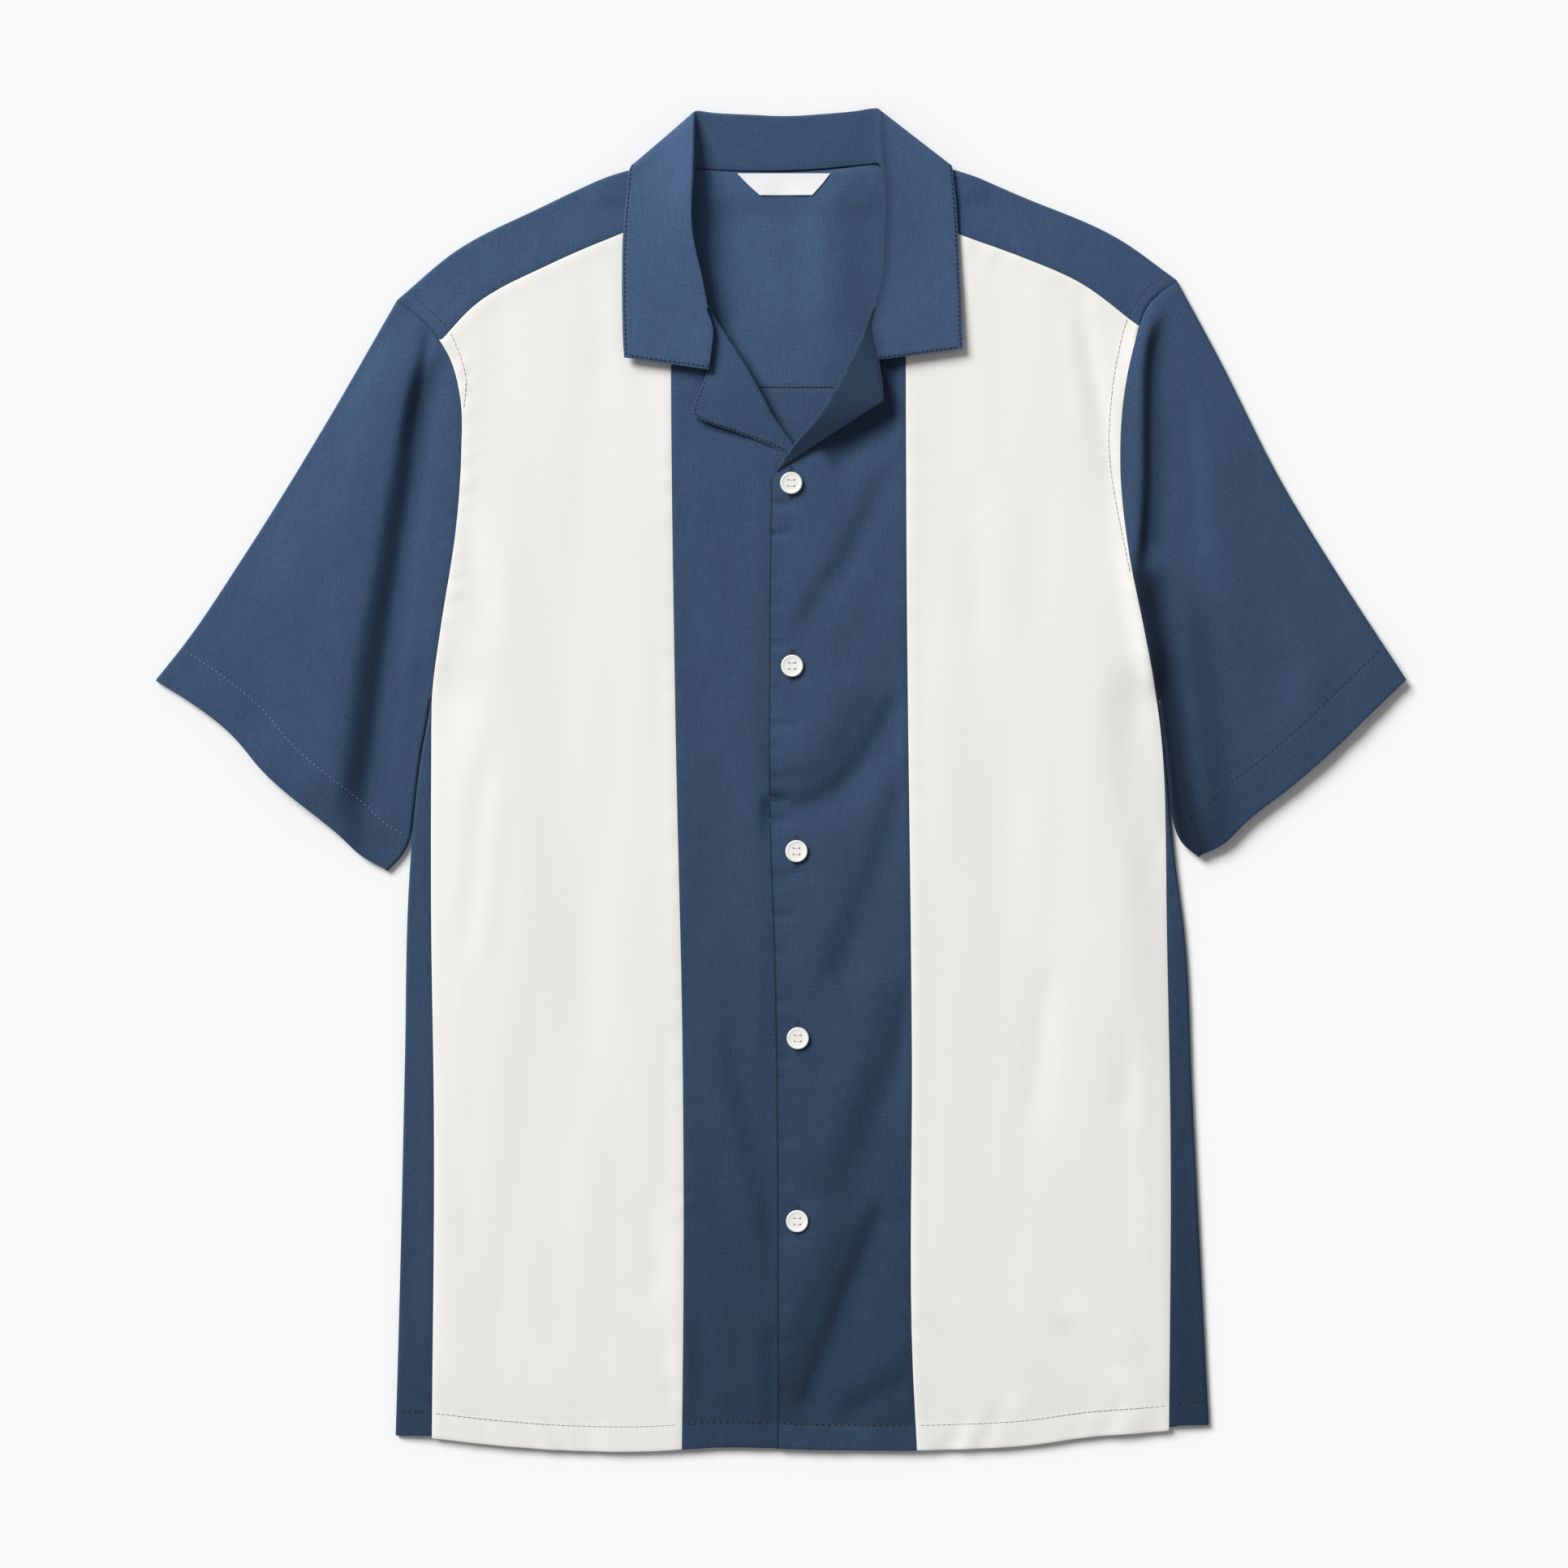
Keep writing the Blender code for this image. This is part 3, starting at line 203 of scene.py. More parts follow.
# Hem of the fronts from the right side to the left one, plan points
HEM = (
    (-221, -376), (-200, -377.5), (-168.5, -381), (-121.5, -384.5), (-76.5, -385), (-35, -382.5),
    (25, -384), (109.5, -383.5), (142.5, -381.5), (175, -377), (223, -373), (246, -370),
)
BACK_HEM_RISE = 1.5  # the back's hem stays just inside the front's

# Plan lines of each side, from its silhouette and its seams
Side = namedtuple(
    "Side",
    "name sign top_fold tip armhole cuff side_fold underarm side_seam yoke_seam princess",
)
RIGHT = Side(
    name="right",
    sign=-1,
    top_fold=(
        (-51, 353.6), (-83, 350), (-143, 325.5), (-185, 304), (-220, 275), (-261.5, 203),
        (-308, 128), (-342.5, 77), (-358.5, 57),
    ),
    tip=(-220, 275),
    armhole=(
        (-220, 275), (-200, 257.5), (-189.5, 241), (-183.5, 218), (-183, 187), (-186, 144.5),
        (-195, 85.5), (-200, 47), (-200.3, 40),
    ),
    cuff=((-342.5, 47), (-315.5, 26.5), (-296.5, 4.5), (-252.5, -32.5), (-240, -44)),
    side_fold=(
        (-200.2, 52), (-200.9, 44), (-202.4, 35), (-206.3, 13.6), (-209.2, -8.5), (-211.5, -34),
        (-213.5, -65), (-215.5, -158), (-219, -310.5), (-221, -380),
    ),
    underarm=((-216, -42), (-225.5, -52.5)),
    side_seam=((-200.3, 44), (-200.5, -68.5), (-198.7, -204.5), (-200, -385)),
    yoke_seam=((-194, 252), (-176, 271), (-132.5, 295), (-90.5, 313), (-51.5, 328.4)),
    princess=(
        (-63, 325), (-62.5, 206), (-60, 28), (-56, -158), (-55.5, -297.5), (-56.5, -385),
    ),
)
LEFT = Side(
    name="left",
    sign=1,
    top_fold=(
        (61, 354.2), (96.5, 350), (142.5, 332.5), (193, 310.5), (227, 286.5), (250, 244),
        (287.5, 170), (323, 112), (358.5, 57),
    ),
    tip=(227, 286.5),
    armhole=(
        (227, 286.5), (210, 271), (202.5, 249), (197, 222.5), (194.5, 182.5), (198.5, 135.5),
        (208.4, 84), (214.6, 51.5), (216.4, 40),
    ),
    cuff=((336.5, 36.5), (315.5, 16), (292.5, -4), (268.5, -22.5), (251, -38.5)),
    side_fold=(
        (215.5, 52), (216.3, 44), (218.5, 27), (221.6, 2), (223.6, -23), (226, -45.5),
        (231.5, -88), (236, -181), (240.5, -271.5), (246, -380),
    ),
    underarm=((230, -36.5), (239.5, -44.5)),
    side_seam=((215.8, 44), (217.3, 33), (219.9, 2), (220.9, -36), (221.2, -68.5),
        (223.5, -204.5), (222.5, -385)),
    yoke_seam=((204.5, 260), (171.5, 284.5), (138.5, 299), (101.5, 312.5), (60.5, 329.4)),
    princess=(
        (71.5, 325), (71.5, 243), (72, 121), (75, -158), (75.5, -336.5), (78, -385),
    ),
)

# Fronts' free line: neck edge, roll line and front edge, plan points from the yoke to the hem
NECK_EDGES = {
    "right": ((-51.5, 331), (-50.8, 311), (-46.5, 290), (-42.5, 277)),
    "left": ((60.5, 331), (59.8, 311), (58.2, 290), (55, 277)),
}
FRONT_EDGES = {
    "right": ((19, 172.5), (19, -18.5), (22, -150), (22.5, -385)),
    "left": ((-5.5, 171), (-6.5, 74.5), (-6.5, -18.5), (-3.5, -111.5), (-2, -232.5), (-2, -385)),
}
# Lapel rows: the roll's x and y, which is the silhouette of the turned lapel, the lapel's height
# there, its free edge's x and y, and the height there
LAPELS = {
    "right": (
        (-40.5, 272, 8.4, -43, 266.5, 7.4), (-37.5, 264.5, 8.6, -41.5, 259.5, 7.4),
        (-31, 254.5, 8.9, -42, 247, 7.5), (-24.5, 244.5, 9, -42, 234.5, 8),
        (-18.5, 235, 9, -46, 223, 9), (-13.4, 225.8, 8.8, -50.2, 212.8, 10),
        (-11.4, 222, 8.6, -50.6, 209.3, 10.1), (-9.2, 218, 8.4, -47.6, 206.8, 10.1),
        (-4.5, 208.8, 7.6, -27, 199, 9), (1.5, 200, 6.7, -11, 193, 7.4),
        (7, 192.5, 5.8, 2.5, 186.5, 5.8), (13.5, 182.5, 5.3, 11, 179, 5.3),
    ),
    "left": (
        (52.5, 272, 8.8, 56.5, 267, 7.9), (49.5, 264.5, 9.4, 55.2, 260, 7.9),
        (45.5, 252.5, 10.8, 56, 246.5, 9.4), (40, 241, 12.6, 56.6, 237, 11.6),
        (34, 229.5, 14.6, 58, 227, 13.8), (28.2, 219.4, 15.8, 58.6, 218, 15.2),
        (26, 215.8, 16, 58.4, 215.2, 15.4), (23.8, 212.2, 15.9, 55.4, 213.2, 15.3),
        (18.6, 205, 15, 47, 208, 14.6), (13, 198.6, 13.6, 38, 202.4, 13.4),
        (7, 191.6, 11.8, 27, 195.4, 11.8), (2, 184.6, 9.8, 14, 187, 9.8),
        (-3, 177, 8.4, 1, 178.5, 8.3),
    ),
}
LAPEL_ROWS = 62

# Painted shade: how much darker the cloth is coloured in a zone, as a share of its tone. Below 0 it
# is painted light, coloured paler; only the hem's band is simply paler
# Painted shadow line along the left front's edge
EDGE_SHADOW_LINE = 0.8
EDGE_SHADOW_LINE_WIDTH = 0.75
EDGE_SHADOW_LINE_FADE = 4.0
# Painted shade on the left sleeve's fold beside the body
UNDERARM_SHADE = 0.72
# Tone of each front centre's hem band, as a share: below 0 it is paler
HEM_BAND_TONES = {"right": -0.07, "left": -0.17}
HEM_BAND_TONE_STEP = 1.6
# Painted light on the collar's fall, painted shade on its stand, on the left roll and on the left
# lapel's roll
COLLAR_PAINTED_LIGHT = -0.15
STAND_PAINTED_SHADE = 0.1
ROLL_PAINTED_SHADE = 0.3
ROLL_SHADE_START = 20  # x where the left roll's painted shade begins
ROLL_SHADE_REACH = 20
ROLL_SHADE_WIDTH = 3.0
# Painted light inside the neck
NECK_PAINTED_LIGHT = -0.17
# Painted shade on the lapels, deep on the left one, which faces away from the light
LAPEL_SHADES = {"right": 0.02, "left": 0.43}

# Collar. Rows run from the wing's lower edge up, round the shoulder fold and to the back. The
# wing's rows below the roll's end have no stand. Each row has the heights of the collar's upper
# face: the stand's rim at the neck seam, the stand's end and the fall's end at the roll, and the
# fall's free edge.
COLLAR_HEIGHTS = (
    (0, 0, 12.6, 11.4), (0, 0, 12.7, 11), (0, 0, 12.8, 10.5), (7.4, 10.4, 13.4, 10),
    (7.3, 12.6, 15.4, 9.4), (7.3, 14.8, 17.6, 8.9), (7.3, 15.4, 18.4, 8.5), (7.3, 14.2, 17, 8.3),
    (7.2, 11, 13.6, 8.2), (6.6, 7.8, 9.8, 8), (5.6, 6.4, 7.6, 6.9), (4.8, 5.6, 4.4, 4),
    (4, 5, 1.3, 1.2), (3.6, 4.7, 0, 0), (3.5, 4.5, 0, 0), (3.5, 4.4, 0, 0),
)
# The left roll lies flatter: its stand's and its fall's heights in the same rows
LEFT_ROLL = (
    (0, 12.6), (0, 12.6), (0, 12.5), (9.4, 12.2), (9.8, 12), (10.2, 12.2), (10.4, 12.4),
    (10.2, 12.2), (9, 11.2), (7.6, 9.4), (6.3, 7.4), (5.6, 4.4), (5, 1.3), (4.7, 0), (4.5, 0),
    (4.4, 0),
)
# Plan points of the same rows: x and y at the neck seam, at the roll and at the free edge
COLLAR_PLANS = {
    "right": (
        (0, 0, -41, 234, -89.5, 241), (0, 0, -39.5, 246, -90.2, 252),
        (0, 0, -38.8, 258, -90.5, 264), (-41.5, 269.5, -40, 268.5, -90.7, 275),
        (-46.5, 289, -44, 289, -90.7, 290), (-51, 308, -49, 311, -90.5, 305.5),
        (-52, 324, -50, 329, -89.6, 321.5), (-51.5, 334, -49.2, 348, -88.4, 335),
        (-50.8, 342, -49, 365, -87.4, 343.5), (-50.2, 347, -48.9, 377.8, -86.6, 348.5),
        (-49, 349.6, -48.9, 381.8, -85.6, 351.2), (-47.5, 350.4, -48.6, 383.5, -84, 352.2),
        (-45.5, 350.4, -46.8, 383.2, -81.4, 351), (-42.5, 350, -44, 382.6, -77.6, 348.2),
        (-36, 349.6, -39, 382, -66, 343.5), (-19, 349, -18, 381, -34, 339),
    ),
    "left": (
        (0, 0, 55.5, 239.5, 104, 246), (0, 0, 53.8, 248.5, 103.6, 256),
        (0, 0, 52.2, 258.5, 103.3, 267), (53.5, 269.5, 52, 268.5, 103, 277),
        (58.5, 289, 56.3, 289, 102.3, 291), (60, 308, 57.6, 311, 101.7, 305.5),
        (61, 324, 58.3, 331, 100.9, 321.5), (60.5, 334, 57, 349, 99.9, 335),
        (59.6, 342, 56, 366, 98.9, 343.5), (58.6, 347.6, 55.8, 379, 98.4, 348.5),
        (57.2, 351.2, 55.6, 383.2, 97.8, 351.2), (55.8, 352.8, 55, 385, 96.6, 352.4),
        (53.8, 353.2, 53, 384.6, 93.6, 351.2), (50.8, 352.9, 50, 384, 89.4, 348.2),
        (43, 352.2, 45, 383.2, 77, 343.5), (24, 350.4, 22, 381.2, 40, 339),
    ),
}
COLLAR_MIDDLE = (2, 349.2, 2, 380.2, 2, 337.8)
# Neck: plan points of the back neck seam between the two shoulder folds, and the label
BACK_NECK = ((-46, 350.4), (-38, 349.4), (-20, 348.6), (2, 348.2), (26, 349.4), (46, 351.8),
    (55.5, 353.2))
LABEL = (  # y and the two ends' x
    (347.4, -25, 28.5), (341.5, -19.3, 23.9), (334.8, -12, 18),
)

# A crease of the front layer along plan points: a ridge (height > 0) or a trough (height < 0).
# Its width differs to the left and the right of its direction, in millimetres, and fade is the
# part of its length over which it grows at each end.
Fold = namedtuple("Fold", "points left right height fade", defaults=(0.28,))
SLEEVE_CREASES = (
    # Right sleeve: the long crease beside the armhole, its full ridge outside and its trough
    Fold(((-203, 254), (-213, 225), (-222, 185), (-230, 146), (-236, 109), (-243, 72), (-248, 36),
        (-253, 0), (-255, -30)), 8.5, 38, 5.2, 0.12),
    Fold(((-198, 248), (-204.5, 220), (-209.5, 183), (-214.5, 146), (-219, 109), (-224, 72),
        (-229, 36), (-234, 2), (-237, -28)), 10, 7, -4.2, 0.1),
    Fold(((-200, 262), (-203.5, 246), (-207.5, 226), (-212, 203), (-216, 180)),
        3.4, 3.4, -1.5, 0.15),
    Fold(((-205, 262), (-226, 236), (-240, 205)), 14, 12, 0.6),
    Fold(((-262, 170), (-272, 120), (-286, 66)), 22, 16, 0.7),
    Fold(((-300, 108), (-284, 72), (-262, 34)), 12, 9, -0.7),
    Fold(((-334, 72), (-306, 48), (-286, 20)), 11, 14, -0.7),
    Fold(((-246, 212), (-262, 176)), 10, 8, -0.4),
    Fold(((-208, 110), (-206, 80), (-205, 40)), 5, 6, -0.8),
    # Left sleeve: the full head beside the armhole, the drop behind it and the second crease
    Fold(((219, 276), (208, 244), (206, 205), (206, 168), (205, 145), (203, 116)),
        4.4, 7, 3.3, 0.14),
    Fold(((217, 268), (213.5, 242), (213, 205), (213, 168), (211.5, 148), (209.5, 128),
        (208, 110)), 9, 4, -3.6, 0.14),
    Fold(((228, 232), (234, 190), (237, 150), (238, 110)), 6, 22, -2.2),
    Fold(((198.5, 134), (204, 104), (210, 72), (215, 44)), 7, 6, 2, 0.2),
    Fold(((240, 214), (250, 168), (256, 110), (262, 62)), 20, 12, 1.1),
    Fold(((299, 86), (282, 48), (262, 6)), 9, 14, -0.8),
    Fold(((318, 84), (306, 52), (296, 20)), 10, 9, 0.6),
    Fold(((262, 148), (276, 110), (286, 66)), 12, 9, -0.5),
)
LEFT_UNDERARM_CREASES = (
    # The left sleeve stands up beside the body and falls away from it
    Fold(((206, 96), (211, 72), (215.5, 44), (218.5, 20), (222, -8), (228, -32), (236, -48)),
        7, 7, 2.8, 0.2),
    Fold(((214, 128), (218, 98), (221.5, 74), (227, 28), (230.5, 2), (233.5, -24), (238, -48)),
        9, 8.5, -2.9, 0.15),
    Fold(((224, 116), (231, 74), (238, 28), (241.5, 0), (245.5, -24), (251, -52)),
        9, 8, 1.5, 0.2),
)
# The same tables hold painted shade, where the cloth is coloured darker: a share of the tone in
# place of the height
SLEEVE_SHADES = {
    "right": (
        Fold(((-197.5, 254), (-204, 226), (-211, 190), (-219, 146), (-226, 109), (-232, 72),
            (-237, 36), (-241, 0), (-244, -30), (-247, -60)), 7, 9, 0.27, 0.1),
        Fold(((-200, 262), (-203.5, 246), (-207.5, 226), (-212, 203), (-216, 180)),
            2, 2.4, 0.22, 0.15),
    ),
    "left": (
        Fold(((203, 134), (210, 98), (216, 62), (221, 26), (226, -8), (233, -38), (240, -62)),
            13.5, 8, 0.58, 0.12),
        Fold(((233, 122), (239, 74), (243.5, 28), (247, 0), (251, -28), (256, -58)),
            12, 6.5, 0.15, 0.2),
        Fold(((213, 262), (210, 220), (209.5, 170), (206.5, 122)), 11, 2.2, 0.36, 0.14),
    ),
}
# Painted shade inside the neck, beside the left collar's roll
NECK_SHADES = (
    Fold(((42, 350), (42, 320), (43, 285), (40, 250), (30, 222)), 14, 13, 0.2, 0.1),
)
LEFT_FRONT_CREASES = (
    # The dip beside the lapel's free edge
    Fold(((66, 246), (66.5, 230), (66, 217), (60, 206), (49, 198), (37, 190), (24, 182)),
        11, 9, -2.2, 0.12),
    # Pull lines that run down from the side towards each button, ridge above and trough below
    Fold(((52, 186), (46.5, 170), (37.5, 148), (27, 128.5), (15.5, 113.5), (7, 97), (2, 78)),
        7, 20, 1.3, 0.18),
    Fold(((62, 184), (58, 166), (47.5, 141), (36, 120), (25, 105.5), (17.5, 91.5), (12, 74)),
        9, 8, -1.3, 0.16),
    Fold(((46, 66), (37, 50), (28, 31), (16, 18), (-1, 9), (-26, 8)), 13, 20, 2.7, 0.16),
    Fold(((72, 54), (64, 38), (53, 16), (37, -2.5), (19.5, -14.5), (-4, -17), (-26, -16)),
        14, 7.5, -3.3, 0.14),
    Fold(((62, 20), (56, -4), (50.5, -24), (43, -46), (37, -63), (31, -80), (24, -96), (16, -112),
        (6, -128)), 11, 18, 1.5, 0.18),
    Fold(((73, 14), (68, -8), (64, -24), (57.7, -45), (51.7, -64), (45.6, -82.4), (39, -98),
        (32, -112), (22, -130)), 12, 10, -1.4, 0.18),
    Fold(((64, -98), (57, -126), (49, -153.5), (39.5, -177), (31, -198), (24, -221), (14, -246)),
        14, 18, 2, 0.18),
    Fold(((84, -108), (76, -136), (69, -161), (59, -183), (52.5, -201), (46, -222), (36, -246)),
        13, 12, -2, 0.18),
    Fold(((36, -238), (27, -258.5), (17.5, -279), (10.3, -295.5), (3.3, -315), (-5, -338),
        (-12, -362)), 15, 18, 2.9, 0.14),
    Fold(((62, -238), (53, -259.5), (45, -282.5), (38.6, -295), (30.6, -317), (21.2, -341.5),
        (12, -368)), 14, 6.5, -2.9, 0.12),
    Fold(((80, -324), (72.5, -328), (52.8, -338), (33, -350), (22, -358)), 7, 9, 1.1),
    Fold(((84, -338), (76.5, -342.5), (58, -352), (39.5, -364), (28, -371)), 8, 5, -1.1),
    Fold(((66, 122), (52, 96), (44, 66)), 10, 8, -0.5),
    Fold(((48, 200), (38, 184), (24, 168)), 8, 6, -0.6),
    Fold(((4, 92), (-2, 60), (-1, 30)), 7, 6, 0.5),
)
RIGHT_FRONT_CREASES = (
    Fold(((-40, 60), (-33, 20), (-30, -30), (-30, -80)), 12, 12, -0.9),
    Fold(((-24, 150), (-18, 90), (-16, 10), (-17, -80)), 9, 10, 0.5),
    Fold(((-42, -124), (-36, -154), (-27.8, -196), (-19.9, -233), (-12, -270), (-10, -300)),
        6, 12, 1),
    Fold(((-31, -120), (-26, -150), (-17.8, -194), (-10, -231), (-4, -268), (-2, -300)),
        10, 8, -1.1),
    Fold(((-46, -240), (-38, -290), (-34, -340)), 9, 10, 0.7),
    Fold(((-50, -300), (-46, -336), (-48, -368)), 7, 7, -0.8),
    Fold(((-52, 196), (-46, 170), (-44, 140)), 8, 9, 0.5),
    Fold(((-52, 120), (-44, 60), (-50, 0)), 8, 10, -0.6),
)
UNDER_CREASES = (
    # The right front alone, beside the left front's edge
    Fold(((-4, -310), (-3, -345), (-3, -380)), 3, 7, -1.3, 0.2),
)
# Painted shadow of the left lapel on the left front, beside its free edge
LEFT_FRONT_SHADOWS = (
    Fold(((59, 246), (61, 230), (61.5, 216), (55, 207), (43, 199.5), (31, 192), (20, 185)),
        11, 9, 0.36, 0.1),
)
# Short puckers of the left front beside its edge: place up the edge, length, rise and depth
PUCKERS = (
    (157.4, 17, 1, 0.8), (139.5, 15, 3, 0.8), (116, 11, 1, 0.4), (100.2, 9, 1, 0.35),
    (77, 13, 1.5, 0.75), (70.5, 8, 0, 0.4), (51.4, 8, 0.5, 0.4), (45.8, 9, 0, 0.45),
    (39.8, 9, 0.5, 0.4), (30.5, 22, 2, 0.6), (18.8, 11, 0, 0.4), (1.6, 12, -1, 0.7),
    (-10.5, 13, 0, 1), (-23.9, 15, 1, 0.85), (-39.3, 8, 0, 0.4), (-55.6, 17, 2, 0.6),
    (-60.2, 10, 0, 0.4), (-77.9, 16, 1, 0.7), (-99.7, 9, 0, 0.45), (-128, 10, 1, 0.5),
    (-160, 12, 1, 0.5), (-171, 9, 0, 0.4), (-206, 12, 1, 0.5), (-231, 10, 0.5, 0.45),
    (-262, 13, 1, 0.5), (-300, 9, 0, 0.4), (-322, 12, 1, 0.45), (-350, 10, 0, 0.4),
)
SIDE_PANEL_CREASES = (
    # Right side
    Fold(((-124, 214), (-120, 120), (-117, 0), (-114, -120), (-112, -240)), 20, 24, -0.74),
    Fold(((-112, 312), (-106, 262), (-98, 208)), 9, 12, -0.56),
    Fold(((-166, 24), (-171, -10), (-176, -60), (-183, -122)), 6, 9, -0.65),
    Fold(((-158, 20), (-163, -20), (-167, -70), (-173, -122)), 8, 9, 0.5),
    Fold(((-78, -230), (-73, -262), (-72, -306)), 7, 8, -0.56),
    Fold(((-70, -314), (-65, -338), (-62, -366)), 6, 6, -0.56),
    Fold(((-150, 180), (-156, 90), (-154, -40), (-150, -200)), 16, 20, 0.43),
    Fold(((-192, 176), (-176, 128), (-168, 70)), 10, 7, -0.56),
    Fold(((-84, 120), (-80, 10), (-78, -110)), 12, 12, 0.31),
    Fold(((-176, -290), (-150, -322), (-134, -352)), 8, 9, -0.5),
    Fold(((-128, -316), (-112, -340), (-100, -366)), 8, 7, 0.37),
    Fold(((-196, -180), (-184, -230), (-178, -290)), 9, 8, -0.37),
    # Left side
    Fold(((170, 290), (174, 262), (181, 222), (189, 176), (190, 130)), 5, 8, -0.87),
    Fold(((163, 276), (169, 236), (178, 188)), 7, 9, 0.43),
    Fold(((110, 186), (111, 130), (114, 66)), 9, 11, -0.56),
    Fold(((156, -96), (150, -140), (143, -206)), 8, 7, -0.62),
    Fold(((196, -130), (199, -162), (194, -204)), 7, 8, -0.62),
    Fold(((156, -306), (178, -328), (204, -346)), 7, 6, -0.87),
    Fold(((158, -296), (182, -316), (208, -332)), 7, 8, 0.5),
    Fold(((82, -296), (104, -326), (142, -362)), 8, 7, -0.81),
    Fold(((92, -288), (116, -316), (150, -344)), 8, 9, 0.5),
    Fold(((132, 60), (128, -40), (126, -150), (124, -250)), 24, 20, -0.62),
    Fold(((98, 40), (95, -60), (96, -180)), 14, 12, 0.31),
    Fold(((172, 100), (176, 0), (180, -90), (178, -230)), 20, 14, 0.43),
    Fold(((206, 70), (200, 20), (204, -50)), 8, 9, -0.43),
    Fold(((196, -268), (210, -306), (214, -350)), 8, 7, -0.43),
)
NECK_CREASES = (
    # Inside the neck, on the back yoke: soft ridges only, because it lies on the floor
    Fold(((24, 344), (24, 318), (27, 288), (32, 252)), 15, 13, 2.6),
    Fold(((-8, 330), (-6, 300), (-2, 262), (2, 240)), 14, 16, 0.9),
    Fold(((-44, 322), (-40, 290), (-30, 258)), 10, 12, 0.8),
)

# Slow swell of the cloth: length of each wave, its direction in degrees, its height and start
SWELLS = (
    (148, 12, 0.16, 0.4), (97, 58, 0.12, 1.9), (66, 166, 0.11, 3.1), (41, 8, 0.08, 5),
    (29, 174, 0.055, 2.2),
)

# Small gathers along a sewn line: the part of it that they cover, in millimetres from its start
GATHERS_FADE = 18  # they grow over this length at each end
GATHERS_WANDER, WANDER_PACE = 1.1, 0.37  # their uneven spacing
GATHERS_LEAST, GATHERS_SWING, SWING_PACE = 0.62, 0.38, 0.21  # and uneven height
Gathers = namedtuple("Gathers", "line start end reach pitch slant height seed")
GATHERS = [Gathers(*row) for row in (
    ("right_front_edge", 190, 540, 10, 19, -0.1, 0.12, 2.2),
    ("hem", 20, 160, 20, 21, 0.5, 0.34, 1.1),
    ("hem", 165, 296, 14, 16, -0.3, 0.2, 2.7),
    ("hem", 290, 450, 22, 24, -0.55, 0.4, 4.2),
    ("right_armhole", 20, 230, 9, 13, 0.3, 0.3, 0.9),
    ("left_armhole", 10, 240, 9, 12, -0.3, 0.28, 3.3),
    ("right_yoke", 10, 150, 12, 17, 0.2, 0.22, 1.7),
    ("left_yoke", 10, 150, 12, 18, -0.2, 0.22, 0.2),
    ("right_princess", 90, 690, 7, 22, 0.3, 0.16, 2),
    ("left_princess", 90, 690, 7, 20, -0.3, 0.2, 5.1),
    ("right_cuff", 10, 190, 24, 26, 0.2, 0.28, 1.3),
    ("left_cuff", 10, 190, 24, 23, -0.2, 0.3, 2.4),
)]

# The topstitch line on the body's side of each armhole, plan points
ARMHOLE_ROWS = {
    "right": ((-207, 274), (-198.5, 266.5), (-189.7, 256.5), (-185.5, 247.6), (-182.3, 238.8),
        (-180.2, 229.9), (-180.4, 221.1), (-181.4, 212.7)),
    "left": ((213.9, 285.3), (207.9, 279.2), (199, 264.8), (193.4, 244.8), (189.7, 222.5),
        (188.3, 204.8), (187.9, 193.2), (189.3, 175.5), (192, 157.9), (197.2, 131.4),
        (200, 117.4)),
}

# Stitches, in millimetres
STITCH_SIDES = 6
STITCH_LIFT = 0.12
STITCH_LEANS = ((0.05, 2.3), (0.03, 7.1))  # size and pace of two waves, in radians
UNEVEN_LENGTH, UNEVEN_PACE = 0.06, 3.7
AHEAD = 0.4  # a stitch points to the line's place this far ahead
HEM_PARTS, CUFF_PARTS, ARMHOLE_PARTS, LAPEL_PARTS, SEAM_POINTS = 400, 200, 300, 60, 60
HOLE_STITCH_PITCH = 0.42
BUTTONHOLE_LENGTH = 16.6  # of its two close rows
BUTTONHOLE_WIDTH = 1.9
BUTTONHOLE_SLIT = 0.5
HOLE_END = 1.1  # length of the stitches at the ends
HOLE_STITCH_LIFT = 0.16
HOLE_STITCH_SIDES = 5
HOLE_THREAD = 0.34
HOLE_SLANT = 0.1
FOLD_SPACE = 2.5  # from a cuff's stitches to the sleeve's folds
HEM_SPACE = 1.0  # from a hem's stitches to the princess seam
SIDE_HEM_ENDS = (-198.5, 221.5)  # x where the cream panels' hem stitches end at the sides
CENTER_HEM_ENDS = (-5.0, -1.0)  # and where the centre panels' end at the front edge
BACK_HEMS = ((-219.0, -201.5), (224.5, 243.0))  # the back's, beside the cream panels
BACK_YOKE_STITCHES = (-30.0, 42.0)
LAPEL_SINK = 0.1  # the lapels' stitches lie this much deeper
SHOWN_STITCH = 6.5  # the collar's stitches show where its edge is this high
# Stitches that differ from the panel's: length, distance from stitch to stitch, thickness
HEM_STITCH = (2.2, 3.7, 0.85)
RIGHT_CUFF_STITCH = (1.6, 2.9, 0.4)
LEFT_CUFF_STITCH = (2.3, 3.6, 0.74)
YOKE_STITCH = (2.6, 2.7, 0.55)
COLLAR_STITCH = (1.6, 2.7, 0.72)
LAPEL_STITCH = (1.6, 2.7, 0.66)
BUTTON_STITCH = (0.62, 0.46, 0.26)

# Twill: slant of its ribs, and its painted light: where its tone lies between dark and pale, from x
# and y in metres (paler up the shirt and to the wearer's right), and the depth of the painted shade
RIB_ACROSS, RIB_ALONG = 0.79, 0.61
PAINTED_LIGHT_UP, PAINTED_LIGHT_ACROSS, PAINTED_LIGHT_START = 0.64, 0.265, 0.463
SHADE_PAINT_DEPTH = 0.87

# Stage: half the floor's width in metres, its depth below the shirt and the camera's sensor in
# millimetres, and the shirt's middle in metres
FLOOR_SIZE = 4.0
FLOOR_DROP = 0.3
SENSOR = 36.0
SHIRT_MIDDLE = (0.00186, -0.00256)

